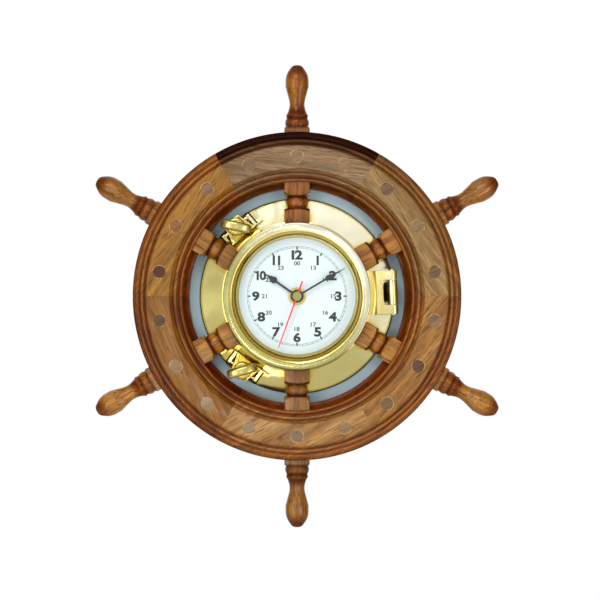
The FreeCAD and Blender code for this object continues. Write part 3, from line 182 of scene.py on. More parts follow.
# The camera stands square on to the dial. The scale is the width of one of the photograph's pixels
# at the depth given, in front of the wall, where the wheel's middle falls on the pixel given.
photo_width = 600
photo_scale = 0.9875 * millimetre
photo_wheel_pixel = (297.06, 296.18)
camera_distance = 2.5
scale_depth = 25 * millimetre
camera_data = bpy.data.cameras.new("camera")
camera_data.sensor_width = 36.0
camera_data.lens = camera_data.sensor_width * camera_distance / (photo_width * photo_scale)
camera = bpy.data.objects.new("camera", camera_data)
camera.location = (wheel_middle.x + (photo_width / 2 - photo_wheel_pixel[0]) * photo_scale,
                   -camera_distance - scale_depth,
                   wheel_middle.z + (photo_wheel_pixel[1] - photo_width / 2) * photo_scale)
camera.rotation_euler = (math.pi / 2, 0, 0)
bpy.context.scene.collection.objects.link(camera)
bpy.context.scene.camera = camera
bpy.context.scene.view_settings.view_transform = "Standard"


# The rear felloes: six plain curved boards glued end to end in a ring, of the same varnished teak
# as the rest of the wheel, with their grain all laid the same way.
def finished(node, body, material, crease=32.0, name=None):
    """Copy of a CAD node in its place, its triangles merged and its curved faces shaded smooth.

    Edges that turn by more than the crease, in degrees, stay sharp.
    """
    weld = millimetre / 1000
    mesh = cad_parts[node].data.copy()
    mesh.materials.clear()
    mesh.materials.append(material)
    shell = bmesh.new()
    shell.from_mesh(mesh)
    bmesh.ops.remove_doubles(shell, verts=shell.verts, dist=weld)
    for face in shell.faces:
        face.smooth = True
        face.material_index = 0
    for edge in shell.edges:
        if len(edge.link_faces) != 2 or edge.calc_face_angle(0) > math.radians(crease):
            edge.smooth = False
    shell.to_mesh(mesh)
    shell.free()
    piece = mesh_piece(name or node + "_finished", mesh)
    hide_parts(node)
    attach(piece, body)
    return piece


def by_radius(tree, coordinates, rows):
    """Colour that goes by distance from the wheel's middle, from rows of millimetres and colour."""
    nearest, farthest = rows[0][0] * millimetre, rows[-1][0] * millimetre
    from_middle = node_of(tree, "ShaderNodeVectorMath", (-1400, 600), operation="SUBTRACT")
    from_middle.inputs[1].default_value = wheel_middle
    flat = node_of(tree, "ShaderNodeVectorMath", (-1200, 600), operation="MULTIPLY")
    flat.inputs[1].default_value = (1, 0, 1)
    radius = node_of(tree, "ShaderNodeVectorMath", (-1000, 600), operation="LENGTH")
    share = node_of(tree, "ShaderNodeMapRange", (-800, 600))
    share.inputs["From Min"].default_value = nearest
    share.inputs["From Max"].default_value = farthest
    colours = shades_of(tree, [((distance * millimetre - nearest) / (farthest - nearest), colour)
                               for distance, colour in rows], (-600, 600))
    tree.links.new(coordinates.outputs["Object"], from_middle.inputs[0])
    tree.links.new(from_middle.outputs["Vector"], flat.inputs[0])
    tree.links.new(flat.outputs["Vector"], radius.inputs[0])
    tree.links.new(radius.outputs["Value"], share.inputs["Value"])
    tree.links.new(share.outputs["Result"], colours.inputs["Fac"])
    return colours.outputs["Color"]


def teak(name, pale, middle, dark, grain_bearing, offset=0.0, gloss=0.28, streak=0.5, stain_and_shade=()):
    """Varnished teak. Its grain runs at a bearing counted anticlockwise from the right, in broad
    wavy bands with short dark strokes where the pores are cut open.

    Stain and shade lists distances from the wheel's middle, in millimetres, with the colour that
    multiplies the wood there: dark stain and painted shade in the hollows of the turning or
    moulding. Where it darkens, the coat and specular level of the varnish are lowered too.
    """
    material, tree, shader = new_material(name)
    links = tree.links
    coordinates = node_of(tree, "ShaderNodeTexCoord", (-1600, 0))
    turned = node_of(tree, "ShaderNodeMapping", (-1400, 0))
    turned.inputs["Location"].default_value = (offset, offset * 0.7, offset * 1.3)
    turned.inputs["Rotation"].default_value = (0, math.radians(grain_bearing), 0)
    links.new(coordinates.outputs["Object"], turned.inputs["Vector"])

    def stretched(along, across, detail, place, distortion=0.0, rough=0.6):
        """Noise drawn out along the grain: cycles to a metre along it and across it."""
        scaled = node_of(tree, "ShaderNodeMapping", (place[0] - 200, place[1]))
        scaled.inputs["Scale"].default_value = (along, across, across)
        noise = node_of(tree, "ShaderNodeTexNoise", place)
        noise.inputs["Scale"].default_value = 1.0
        noise.inputs["Detail"].default_value = detail
        noise.inputs["Roughness"].default_value = rough
        noise.inputs["Distortion"].default_value = distortion
        links.new(turned.outputs["Vector"], scaled.inputs["Vector"])
        links.new(scaled.outputs["Vector"], noise.inputs["Vector"])
        return noise

    bands = stretched(along=6, across=90, detail=3, place=(-1000, 300), distortion=0.9)
    fibre = stretched(along=18, across=580, detail=4, place=(-1000, 0), distortion=0.3, rough=0.75)
    pores = stretched(along=60, across=1000, detail=2, place=(-1000, -300), distortion=0.2)
    tone = shades_of(tree, [(0.34, middle), (0.66, pale)], (-700, 300))
    links.new(bands.outputs["Fac"], tone.inputs["Fac"])
    thread = node_of(tree, "ShaderNodeMapRange", (-700, 0))
    thread.inputs["From Min"].default_value = 0.42
    thread.inputs["From Max"].default_value = 0.62
    thread.inputs["To Max"].default_value = streak
    links.new(fibre.outputs["Fac"], thread.inputs["Value"])
    threaded = node_of(tree, "ShaderNodeMix", (-450, 200), data_type="RGBA")
    threaded.inputs["B"].default_value = middle
    links.new(thread.outputs["Result"], threaded.inputs["Factor"])
    links.new(tone.outputs["Color"], threaded.inputs["A"])
    pits = node_of(tree, "ShaderNodeMapRange", (-700, -300))
    pits.inputs["From Min"].default_value = 0.54
    pits.inputs["From Max"].default_value = 0.64
    pits.inputs["To Max"].default_value = 0.7
    links.new(pores.outputs["Fac"], pits.inputs["Value"])
    pitted = node_of(tree, "ShaderNodeMix", (-250, 100), data_type="RGBA")
    pitted.inputs["B"].default_value = dark
    links.new(pits.outputs["Result"], pitted.inputs["Factor"])
    links.new(threaded.outputs["Result"], pitted.inputs["A"])
    wood = pitted.outputs["Result"]
    # Dark stain and painted shade darken the hollows of the moulding and turning, by radius.
    if stain_and_shade:
        stained_and_shaded = node_of(tree, "ShaderNodeMix", (-100, 300), data_type="RGBA",
                          blend_type="MULTIPLY")
        stained_and_shaded.inputs["Factor"].default_value = 1.0
        darkening = by_radius(tree, coordinates, stain_and_shade)
        links.new(wood, stained_and_shaded.inputs["A"])
        links.new(darkening, stained_and_shaded.inputs["B"])
        wood = stained_and_shaded.outputs["Result"]
    links.new(wood, shader.inputs["Base Color"])
    bump = node_of(tree, "ShaderNodeBump", (-250, -300))
    bump.inputs["Strength"].default_value = 0.15
    bump.inputs["Distance"].default_value = 0.1 * millimetre
    bump.invert = True
    links.new(pits.outputs["Result"], bump.inputs["Height"])
    links.new(bump.outputs["Normal"], shader.inputs["Normal"])
    dull = node_of(tree, "ShaderNodeMapRange", (-250, -100))
    dull.inputs["To Min"].default_value = gloss
    dull.inputs["To Max"].default_value = gloss + 0.2
    links.new(thread.outputs["Result"], dull.inputs["Value"])
    links.new(dull.outputs["Result"], shader.inputs["Roughness"])
    shader.inputs["Specular IOR Level"].default_value = 0.08
    shader.inputs["Coat Weight"].default_value = 0.32
    shader.inputs["Coat Roughness"].default_value = 0.18
    if stain_and_shade:
        for socket, least in (("Coat Weight", 0.03), ("Specular IOR Level", 0.005)):
            hollow_dulling = node_of(tree, "ShaderNodeMapRange", (-250, -500))
            hollow_dulling.inputs["From Max"].default_value = 0.7
            hollow_dulling.inputs["To Min"].default_value = least
            hollow_dulling.inputs["To Max"].default_value = shader.inputs[socket].default_value
            links.new(darkening, hollow_dulling.inputs["Value"])
            links.new(hollow_dulling.outputs["Result"], shader.inputs[socket])
    return material


rear_teak = teak("rear_teak", tint(160, 108, 56), tint(112, 68, 26), tint(48, 24, 8),
                 grain_bearing=30.0, offset=0.31)
finished("rear_felloes", "clock", rear_teak)


# The front felloes: six moulded teak boards glued over the rear ones, each cut from another plank,
# so colour and grain differ. The mouldings are stained dark, with painted shade in their hollows,
# and the top board's outer edge is painted nearly black as shade, as it shows in the photograph.
felloe_shades = [
    ((144, 117, 86), (99, 75, 47), (50, 29, 15)),
    ((164, 131, 84), (112, 84, 46), (56, 34, 15)),
    ((173, 124, 64), (118, 78, 32), (56, 28, 9)),
    ((178, 133, 79), (122, 84, 42), (58, 32, 12)),
    ((146, 99, 38), (100, 62, 18), (48, 25, 6)),
    ((168, 120, 45), (115, 76, 21), (56, 30, 6))]
felloe_grain = [-8.0, -56.0, 48.0, 30.0, -66.0, 56.0]
# Dark stain and painted shade in the mouldings' hollows, by distance from the middle.
felloe_stain_and_shade = [
    (106.0, (0.45, 0.19, 0.03)), (109.5, (0.38, 0.14, 0.02)), (112.0, (0.44, 0.18, 0.03)),
    (114.2, (0.95, 0.62, 0.22)), (115.6, (0.42, 0.18, 0.04)), (117.2, (0.36, 0.14, 0.03)),
    (119.4, (1.06, 0.92, 0.75)), (121.6, (0.48, 0.28, 0.12)), (124.6, (0.96, 0.84, 0.70)),
    (126.2, (1.00, 1.00, 1.00)), (146.2, (1.00, 1.00, 1.00)), (148.6, (0.64, 0.42, 0.22)),
    (150.4, (0.44, 0.26, 0.12)), (152.2, (0.96, 0.76, 0.52)), (154.4, (0.48, 0.28, 0.13)),
    (157.2, (0.82, 0.54, 0.28)), (159.4, (0.58, 0.36, 0.16)), (161.6, (0.36, 0.20, 0.10))]
outer_groove = 148
outer_bead = 153
# Painted shade: the top board's outer moulding is darkened nearly to black.
top_shade_and_stain = []
for distance, colour in felloe_stain_and_shade:
    top_shade = (1, 1, 1)
    if distance >= outer_bead:
        top_shade = (0.14, 0.06, 0.03)
    elif distance >= outer_groove:
        top_shade = (0.5, 0.4, 0.3)
    top_shade_and_stain.append((distance, tuple(part * depth for part, depth in zip(colour, top_shade))))
plank_step = 0.17
for index, (shades, grain) in enumerate(zip(felloe_shades, felloe_grain)):
    number = str(index + 1)
    felloe_teak = teak("felloe_teak_" + number, *[tint(*shade_parts) for shade_parts in shades],
                       grain_bearing=grain, offset=plank_step * (index + 1), streak=0.75,
                       stain_and_shade=felloe_stain_and_shade if index else top_shade_and_stain)
    finished("front_felloe_" + number, "clock", felloe_teak,
             name="front_felloe_" + number + "_moulded")


# The spokes: square teak stock turned on a lathe, in one piece with the handle outside the rim.
# Each is let in between the felloes, with its grain along it, dark stain and painted shade in its
# turned grooves, and darker towards the handles' ends.
# Dark stain and painted shade in the turned grooves, by distance from the middle.
spoke_stain_and_shade = [
    (68.0, (0.90, 0.85, 0.75)), (84.4, (1.00, 1.00, 1.00)), (86.2, (0.30, 0.14, 0.04)),
    (89.5, (0.75, 0.55, 0.30)), (92.5, (1.00, 0.90, 0.70)), (95.0, (0.85, 0.62, 0.36)),
    (97.6, (0.18, 0.07, 0.01)), (99.2, (0.44, 0.26, 0.12)), (101.0, (1.00, 0.94, 0.84)),
    (104.0, (1.00, 1.00, 1.00)),
    (164.0, (0.92, 0.86, 0.75)), (166.8, (0.30, 0.20, 0.10)), (169.8, (0.66, 0.44, 0.24)),
    (172.8, (0.70, 0.50, 0.30)), (175.6, (0.22, 0.08, 0.02)), (178.7, (0.52, 0.32, 0.14)),
    (181.6, (0.35, 0.17, 0.05)), (184.6, (0.52, 0.32, 0.14)), (188.6, (0.92, 0.82, 0.66)),
    (212.0, (1.00, 1.00, 1.00)), (218.0, (0.78, 0.62, 0.42)), (222.5, (0.48, 0.30, 0.16)),
    (228.5, (0.34, 0.20, 0.12))]
spoke_shades = [
    ((158, 98, 34), (108, 62, 14)), ((168, 114, 52), (116, 72, 26)),
    ((180, 127, 56), (126, 82, 28)), ((160, 112, 54), (110, 72, 28)),
    ((190, 134, 58), (132, 88, 30)), ((166, 116, 50), (114, 74, 24))]
spoke_bearings = [90.0, 30.0, -30.0, -90.0, -150.0, 150.0]
billet_step = 0.23
for index, (bearing, shades) in enumerate(zip(spoke_bearings, spoke_shades)):
    number = str(index + 1)
    spoke_teak = teak("spoke_teak_" + number, tint(*shades[0]), tint(*shades[1]), tint(40, 20, 8),
                      grain_bearing=bearing, offset=billet_step * (index + 1), gloss=0.24,
                      stain_and_shade=spoke_stain_and_shade)
    finished("spoke_" + number, "clock", spoke_teak, name="spoke_" + number + "_turned")


# The plugs: short teak dowels glued into the counterbores over the screws. Each is cut from
# another offcut, so their tones differ, and pale glue shows round them.
def named_input(tree, name, kind):
    """Input of a tree of Geometry Nodes, under its name."""
    return tree.interface.new_socket(name=name, in_out="INPUT", socket_type=kind)


def grown(name, tree, settings, body):
    """Plain mesh of what a tree of Geometry Nodes makes, moving with one body."""
    seed_piece = mesh_piece(name + "_seed", bpy.data.meshes.new(name + "_seed"))
    modifier = seed_piece.modifiers.new("grow", "NODES")
    modifier.node_group = tree
    for item in tree.interface.items_tree:
        if item.item_type == "SOCKET" and item.in_out == "INPUT" and item.name in settings:
            modifier[item.identifier] = settings[item.name]
    bpy.context.view_layer.update()
    evaluated = seed_piece.evaluated_get(bpy.context.evaluated_depsgraph_get())
    mesh = bpy.data.meshes.new_from_object(evaluated)
    seed_piece.modifiers.remove(modifier)
    bpy.data.objects.remove(seed_piece)
    piece = mesh_piece(name, mesh)
    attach(piece, body)
    return piece


def ring_of(name, kinds, smooth=True):
    """Tree that sets copies of a shape on a circle that faces the front, its inputs and its copies.

    The inputs are Count, Circle Radius, First Bearing, Middle, Material, and those in kinds.
    """
    tree = bpy.data.node_groups.new(name, "GeometryNodeTree")
    tree.interface.new_socket(name="Geometry", in_out="OUTPUT", socket_type="NodeSocketGeometry")
    named_input(tree, "Count", "NodeSocketInt")
    named_input(tree, "Circle Radius", "NodeSocketFloat")
    named_input(tree, "First Bearing", "NodeSocketFloat")
    named_input(tree, "Middle", "NodeSocketVector")
    named_input(tree, "Material", "NodeSocketMaterial")
    for label, kind in kinds.items():
        named_input(tree, label, kind)
    link = tree.links.new
    given = node_of(tree, "NodeGroupInput", (-900, 0))
    circle = node_of(tree, "GeometryNodeMeshCircle", (-700, 200))
    link(given.outputs["Count"], circle.inputs["Vertices"])
    link(given.outputs["Circle Radius"], circle.inputs["Radius"])
    position = node_of(tree, "GeometryNodeInputPosition", (-700, -100))
    outwards = node_of(tree, "FunctionNodeAlignRotationToVector", (-500, -100), axis="X")
    link(position.outputs["Position"], outwards.inputs["Vector"])
    copies = node_of(tree, "GeometryNodeInstanceOnPoints", (-300, 100))
    link(circle.outputs["Mesh"], copies.inputs["Points"])
    link(outwards.outputs["Rotation"], copies.inputs["Rotation"])
    first = node_of(tree, "ShaderNodeCombineXYZ", (-300, -400))
    link(given.outputs["First Bearing"], first.inputs["Z"])
    begun = node_of(tree, "GeometryNodeTransform", (100, 100))
    link(copies.outputs["Instances"], begun.inputs["Geometry"])
    link(first.outputs["Vector"], begun.inputs["Rotation"])
    upright = node_of(tree, "GeometryNodeTransform", (300, 100))
    upright.inputs["Rotation"].default_value = (math.pi / 2, 0, 0)
    link(begun.outputs["Geometry"], upright.inputs["Geometry"])
    link(given.outputs["Middle"], upright.inputs["Translation"])
    real = node_of(tree, "GeometryNodeRealizeInstances", (500, 100))
    link(upright.outputs["Geometry"], real.inputs["Geometry"])
    shaded = node_of(tree, "GeometryNodeSetShadeSmooth", (600, 100))
    shaded.inputs["Shade Smooth"].default_value = smooth
    link(real.outputs["Geometry"], shaded.inputs["Geometry"])
    finish = node_of(tree, "GeometryNodeSetMaterial", (700, 100))
    link(shaded.outputs["Geometry"], finish.inputs["Geometry"])
    link(given.outputs["Material"], finish.inputs["Material"])
    result = node_of(tree, "NodeGroupOutput", (900, 100))
    link(finish.outputs["Geometry"], result.inputs["Geometry"])
    return tree, given, copies


plug_low, plug_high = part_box("rim_plugs")
rim_front = -plug_low.y
plug_radius = 6.35 * millimetre
plug_count = 18
plug_first = math.radians(10)
plug_circle = (plug_high.x - plug_radius) / math.cos(plug_first)
plug_length = plug_high.y - plug_low.y
plug_sides = 48
plug_proud = 0.06 * millimetre

plug_teak = teak("plug_teak", tint(166, 138, 106), tint(138, 110, 82), tint(84, 58, 40),
                 grain_bearing=24.0, offset=0.4, gloss=0.34)
plug_tree = plug_teak.node_tree
plug_shader = plug_tree.nodes["Principled BSDF"]
plug_tone = node_of(plug_tree, "ShaderNodeAttribute", (-400, 500), attribute_name="tone")
plug_shades = shades_of(plug_tree, [
    (0.0, (0.18, 0.10, 0.06)), (0.25, (0.36, 0.31, 0.27)), (0.50, (0.56, 0.55, 0.52)),
    (0.75, (0.66, 0.38, 0.20)), (1.0, (0.68, 0.76, 0.70))], (-200, 500))
plug_toned = node_of(plug_tree, "ShaderNodeMix", (-100, 300), data_type="RGBA",
                     blend_type="MULTIPLY")
plug_toned.inputs["Factor"].default_value = 1.0
plug_wood = plug_shader.inputs["Base Color"].links[0].from_socket
plug_tree.links.new(plug_tone.outputs["Fac"], plug_shades.inputs["Fac"])
plug_tree.links.new(plug_wood, plug_toned.inputs["A"])
plug_tree.links.new(plug_shades.outputs["Color"], plug_toned.inputs["B"])
plug_tree.links.new(plug_toned.outputs["Result"], plug_shader.inputs["Base Color"])

plug_ring, plug_given, plug_copies = ring_of("ring_of_plugs", {
    "Plug Radius": "NodeSocketFloat", "Plug Length": "NodeSocketFloat"}, smooth=False)
plug_shape = node_of(plug_ring, "GeometryNodeMeshCylinder", (-500, -300))
plug_shape.inputs["Vertices"].default_value = plug_sides
plug_ring.links.new(plug_given.outputs["Plug Radius"], plug_shape.inputs["Radius"])
plug_ring.links.new(plug_given.outputs["Plug Length"], plug_shape.inputs["Depth"])
plug_ring.links.new(plug_shape.outputs["Mesh"], plug_copies.inputs["Instance"])
plugs = grown("rim_plugs_turned", plug_ring, {
    "Count": plug_count, "Circle Radius": plug_circle, "First Bearing": plug_first,
    "Middle": (wheel_middle.x, -rim_front + plug_length / 2 - plug_proud, wheel_middle.z),
    "Material": plug_teak, "Plug Radius": plug_radius, "Plug Length": plug_length}, "clock")
plug_offcuts = [0.30, 0.94, 0.28, 0.90, 0.94, 0.46, 0.55, 0.76, 0.00, 0.15, 0.92, 0.96, 0.92,
                0.48, 0.94, 0.34, 0.16, 0.50]
plug_step = 2 * math.pi / plug_count
tones = plugs.data.attributes.new("tone", "FLOAT", "POINT")
for vertex, tone in zip(plugs.data.vertices, tones.data):
    bearing = math.atan2(vertex.co.z - wheel_middle.z, vertex.co.x - wheel_middle.x)
    tone.value = plug_offcuts[round((bearing - plug_first) / plug_step) % plug_count]
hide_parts("rim_plugs")

glue_radius = 0.3 * millimetre
glue_patches = 160.0
glue_turns = 40
glue_sides = 6
pale_glue, glue_nodes, glue_shader = new_material("pale_glue")
glue_shader.inputs["Roughness"].default_value = 0.35
glue_patch = node_of(glue_nodes, "ShaderNodeTexNoise", (-600, 0))
glue_patch.inputs["Scale"].default_value = glue_patches
glue_shades = shades_of(glue_nodes, [(0.45, tint(110, 72, 36)), (0.62, tint(206, 166, 84))],
                        (-350, 0))
glue_place = node_of(glue_nodes, "ShaderNodeTexCoord", (-800, 0))
glue_nodes.links.new(glue_place.outputs["Object"], glue_patch.inputs["Vector"])
glue_nodes.links.new(glue_patch.outputs["Fac"], glue_shades.inputs["Fac"])
glue_nodes.links.new(glue_shades.outputs["Color"], glue_shader.inputs["Base Color"])
glue_ring, glue_given, glue_copies = ring_of("ring_of_glue_lines", {
    "Plug Radius": "NodeSocketFloat", "Line Radius": "NodeSocketFloat"})
glue_path = node_of(glue_ring, "GeometryNodeCurvePrimitiveCircle", (-900, -300))
glue_path.inputs["Resolution"].default_value = glue_turns
glue_section = node_of(glue_ring, "GeometryNodeCurvePrimitiveCircle", (-900, -500))
glue_section.inputs["Resolution"].default_value = glue_sides
glue_line = node_of(glue_ring, "GeometryNodeCurveToMesh", (-600, -300))
glue_ring.links.new(glue_given.outputs["Plug Radius"], glue_path.inputs["Radius"])
glue_ring.links.new(glue_given.outputs["Line Radius"], glue_section.inputs["Radius"])
glue_ring.links.new(glue_path.outputs["Curve"], glue_line.inputs["Curve"])
glue_ring.links.new(glue_section.outputs["Curve"], glue_line.inputs["Profile Curve"])
glue_ring.links.new(glue_line.outputs["Mesh"], glue_copies.inputs["Instance"])
glue_lines = grown("plug_glue_lines", glue_ring, {
    "Count": plug_count, "Circle Radius": plug_circle, "First Bearing": plug_first,
    "Middle": (wheel_middle.x, -rim_front + glue_radius / 2, wheel_middle.z),
    "Material": pale_glue, "Plug Radius": plug_radius, "Line Radius": glue_radius}, "clock")


# The screws: zinc plated steel wood screws, driven under the plugs, through the backboard and
# through the flange. The pins that the dogs swing on are of the same steel.
def machined(name, colour, roughness, metallic=1.0, variation=0.12, grain=900.0, bump_depth=0.01,
             bevel=0.0):
    """Even finish whose colour and gloss vary a little, with a fine grain on its surface.

    The depth of the grain and the bevel that softens its edges are in millimetres.
    """
    material, tree, shader = new_material(name)
    link = tree.links.new
    coordinates = node_of(tree, "ShaderNodeTexCoord", (-1000, 0))
    patches = node_of(tree, "ShaderNodeTexNoise", (-800, 200))
    patches.inputs["Scale"].default_value = 45.0
    patches.inputs["Detail"].default_value = 4.0
    fine = node_of(tree, "ShaderNodeTexNoise", (-800, -200))
    fine.inputs["Scale"].default_value = grain
    fine.inputs["Detail"].default_value = 2.0
    link(coordinates.outputs["Object"], patches.inputs["Vector"])
    link(coordinates.outputs["Object"], fine.inputs["Vector"])
    shades = node_of(tree, "ShaderNodeMapRange", (-550, 300))
    shades.inputs["From Min"].default_value = 0.3
    shades.inputs["From Max"].default_value = 0.7
    shades.inputs["To Min"].default_value = 1.0 - variation
    shades.inputs["To Max"].default_value = 1.0 + variation / 3
    toned = node_of(tree, "ShaderNodeHueSaturation", (-300, 300))
    toned.inputs["Color"].default_value = colour
    link(patches.outputs["Fac"], shades.inputs["Value"])
    link(shades.outputs["Result"], toned.inputs["Value"])
    link(toned.outputs["Color"], shader.inputs["Base Color"])
    gloss = node_of(tree, "ShaderNodeMapRange", (-550, 0))
    gloss.inputs["From Min"].default_value = 0.3
    gloss.inputs["From Max"].default_value = 0.7
    gloss.inputs["To Min"].default_value = roughness * 0.85
    gloss.inputs["To Max"].default_value = roughness * 1.25
    link(patches.outputs["Fac"], gloss.inputs["Value"])
    link(gloss.outputs["Result"], shader.inputs["Roughness"])
    bump = node_of(tree, "ShaderNodeBump", (-300, -200))
    bump.inputs["Strength"].default_value = 0.3
    bump.inputs["Distance"].default_value = bump_depth * millimetre
    link(fine.outputs["Fac"], bump.inputs["Height"])
    if bevel:
        eased = node_of(tree, "ShaderNodeBevel", (-550, -300), samples=6)
        eased.inputs["Radius"].default_value = bevel * millimetre
        link(eased.outputs["Normal"], bump.inputs["Normal"])
    link(bump.outputs["Normal"], shader.inputs["Normal"])
    shader.inputs["Metallic"].default_value = metallic
    return material


zinc_steel = machined("zinc_steel", tint(176, 178, 176), roughness=0.32)
for node in ("rim_screws", "backboard_screws", "flange_screws", "dog_pins"):
    finished(node, "clock", zinc_steel)


# The backboard: a thin disc behind the spokes, sprayed a satin grey blue, and the brass keyhole
# plate that is screwed into the top of the wheel's back to hang it.
board_paint = machined("board_paint", tint(164, 189, 200), roughness=0.5, metallic=0.0,
                       variation=0.06, grain=2600.0, bump_depth=0.03)
finished("backboard", "clock", board_paint)


def brass(name, deep, pale, roughness, bevel, hollow=0.0, rows=()):
    """Polished brass, painted paler towards the upper right: a painted sheen where light falls.

    With a hollow, in millimetres, painted shade deepens its tone where other faces stand that
    close, down to black in the narrowest slots. Rows give its tone by distance from the middle, as
    painted bands of reflection.
    """
    # Painted sheen: the brass is mixed from its deep tone to its pale one towards the upper right.
    sheen_way = (0.64, 0, 0.77)
    deepest_at, palest_at = -10 * millimetre, 75 * millimetre
    # Painted shade for the hollows, by how open each place is: black in slots, deep gold in
    # corners.
    hollow_shade_colours = [(0.16, (0.03, 0.015, 0.003)), (0.36, (0.45, 0.26, 0.05)),
                      (0.58, (1.0, 0.85, 0.42)), (0.88, (1, 1, 1))]
    material = machined(name, deep, roughness, variation=0.08, grain=700.0, bump_depth=0.006,
                        bevel=bevel)
    tree = material.node_tree
    toned = next(node for node in tree.nodes if node.bl_idname == "ShaderNodeHueSaturation")
    coordinates = next(node for node in tree.nodes if node.bl_idname == "ShaderNodeTexCoord")
    from_middle = node_of(tree, "ShaderNodeVectorMath", (-1000, 900), operation="SUBTRACT")
    from_middle.inputs[1].default_value = wheel_middle
    rise = node_of(tree, "ShaderNodeVectorMath", (-800, 900), operation="DOT_PRODUCT")
    rise.inputs[1].default_value = sheen_way
    share = node_of(tree, "ShaderNodeMapRange", (-650, 900))
    share.inputs["From Min"].default_value = deepest_at
    share.inputs["From Max"].default_value = palest_at
    painted_sheen = node_of(tree, "ShaderNodeMix", (-500, 900), data_type="RGBA")
    painted_sheen.inputs["A"].default_value = deep
    painted_sheen.inputs["B"].default_value = pale
    tree.links.new(coordinates.outputs["Object"], from_middle.inputs[0])
    tree.links.new(from_middle.outputs["Vector"], rise.inputs[0])
    tree.links.new(rise.outputs["Value"], share.inputs["Value"])
    tree.links.new(share.outputs["Result"], painted_sheen.inputs["Factor"])
    tones = []
    if hollow:
        openness = node_of(tree, "ShaderNodeAmbientOcclusion", (-700, 1200), samples=8)
        openness.inputs["Distance"].default_value = hollow * millimetre
        hollow_shade = shades_of(tree, hollow_shade_colours, (-500, 1200))
        tree.links.new(openness.outputs["AO"], hollow_shade.inputs["Fac"])
        tones.append(hollow_shade.outputs["Color"])
    if rows:
        tones.append(by_radius(tree, coordinates, rows))
    colour = painted_sheen.outputs["Result"]
    # The painted shade and the painted reflection rows multiply the brass colour in turn.
    for tone in tones:
        painted_light_mix = node_of(tree, "ShaderNodeMix", (-300, 900), data_type="RGBA", blend_type="MULTIPLY")
        painted_light_mix.inputs["Factor"].default_value = 1.0
        tree.links.new(colour, painted_light_mix.inputs["A"])
        tree.links.new(tone, painted_light_mix.inputs["B"])
        colour = painted_light_mix.outputs["Result"]
    tree.links.new(colour, toned.inputs["Color"])
    return material


turned_brass = brass("turned_brass", tint(190, 168, 92), tint(228, 212, 150), roughness=0.14,
                     bevel=0.15)
finished("hanger_plate", "clock", turned_brass)
finished("hanger_screws", "clock", turned_brass)


# The porthole's body: cast and polished brass with its flange, cup, hinge knuckle and the ears of
# the dogs, bedded on a black rubber gasket. A narrow band before the knuckle is coloured dark, to
# stand for the deep shadow in the slot of the closed hinge.
black_rubber = machined("black_rubber", tint(22, 22, 22), roughness=0.75, metallic=0.0,
                        variation=0.2, grain=1800.0, bump_depth=0.04)
# The gasket's black also stands for shade: a dark line round the flange and dark notch floors.
finished("porthole_gasket", "clock", black_rubber)

deep_brass = tint(182, 171, 108)
pale_brass = tint(238, 233, 204)
# Painted reflection: the flange is darker from near its outer edge outwards, a reflected band.
body_reflection_bands = [(93.8, (1, 1, 1)), (94.8, (0.74, 0.64, 0.30)), (110.0, (0.74, 0.64, 0.30))]
body_brass = brass("body_brass", deep_brass, pale_brass, roughness=0.17, bevel=0.25, hollow=9.0,
                   rows=body_reflection_bands)
body_tree = body_brass.node_tree
body_shader = body_tree.nodes["Principled BSDF"]
body_place = next(node for node in body_tree.nodes if node.bl_idname == "ShaderNodeTexCoord")
pin_low, pin_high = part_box("hinge_pin")
shadow_narrowness = 3
shadow_radius = 12.5 * millimetre
shadow_from_pin = 6 * millimetre
knuckle_start = -20 * millimetre
shadow_middle = Vector((shadow_narrowness * ((pin_low.x + pin_high.x) / 2 - shadow_from_pin), 0,
                      (pin_low.z + pin_high.z) / 2))
shadow_flat = node_of(body_tree, "ShaderNodeVectorMath", (-1000, 1500), operation="MULTIPLY")
shadow_flat.inputs[1].default_value = (shadow_narrowness, 0, 1)
shadow_distance = node_of(body_tree, "ShaderNodeVectorMath", (-800, 1500), operation="DISTANCE")
shadow_distance.inputs[1].default_value = shadow_middle
shadow_share = node_of(body_tree, "ShaderNodeMapRange", (-600, 1500))
shadow_share.inputs["From Min"].default_value = 0.7 * shadow_radius
shadow_share.inputs["From Max"].default_value = shadow_radius
shadow_share.interpolation_type = "SMOOTHSTEP"
shadow_depth = node_of(body_tree, "ShaderNodeSeparateXYZ", (-800, 1700))
shadow_below = node_of(body_tree, "ShaderNodeMath", (-600, 1700), operation="LESS_THAN")
shadow_below.inputs[1].default_value = knuckle_start
shadow_clear = node_of(body_tree, "ShaderNodeMath", (-400, 1600), operation="MAXIMUM")
slot_shadow = node_of(body_tree, "ShaderNodeMix", (-100, 900), data_type="RGBA")
slot_shadow.inputs["A"].default_value = tint(20, 15, 5)
body_tree.links.new(body_place.outputs["Object"], shadow_flat.inputs[0])
body_tree.links.new(shadow_flat.outputs["Vector"], shadow_distance.inputs[0])
body_tree.links.new(shadow_distance.outputs["Value"], shadow_share.inputs["Value"])
body_tree.links.new(body_place.outputs["Object"], shadow_depth.inputs["Vector"])
body_tree.links.new(shadow_depth.outputs["Y"], shadow_below.inputs[0])
body_tree.links.new(shadow_share.outputs["Result"], shadow_clear.inputs[0])
body_tree.links.new(shadow_below.outputs["Value"], shadow_clear.inputs[1])
body_tree.links.new(shadow_clear.outputs["Value"], slot_shadow.inputs["Factor"])
body_tree.links.new(body_shader.inputs["Base Color"].links[0].from_socket, slot_shadow.inputs["B"])
body_tree.links.new(slot_shadow.outputs["Result"], body_shader.inputs["Base Color"])
finished("porthole_body", "clock", body_brass, crease=30.0)


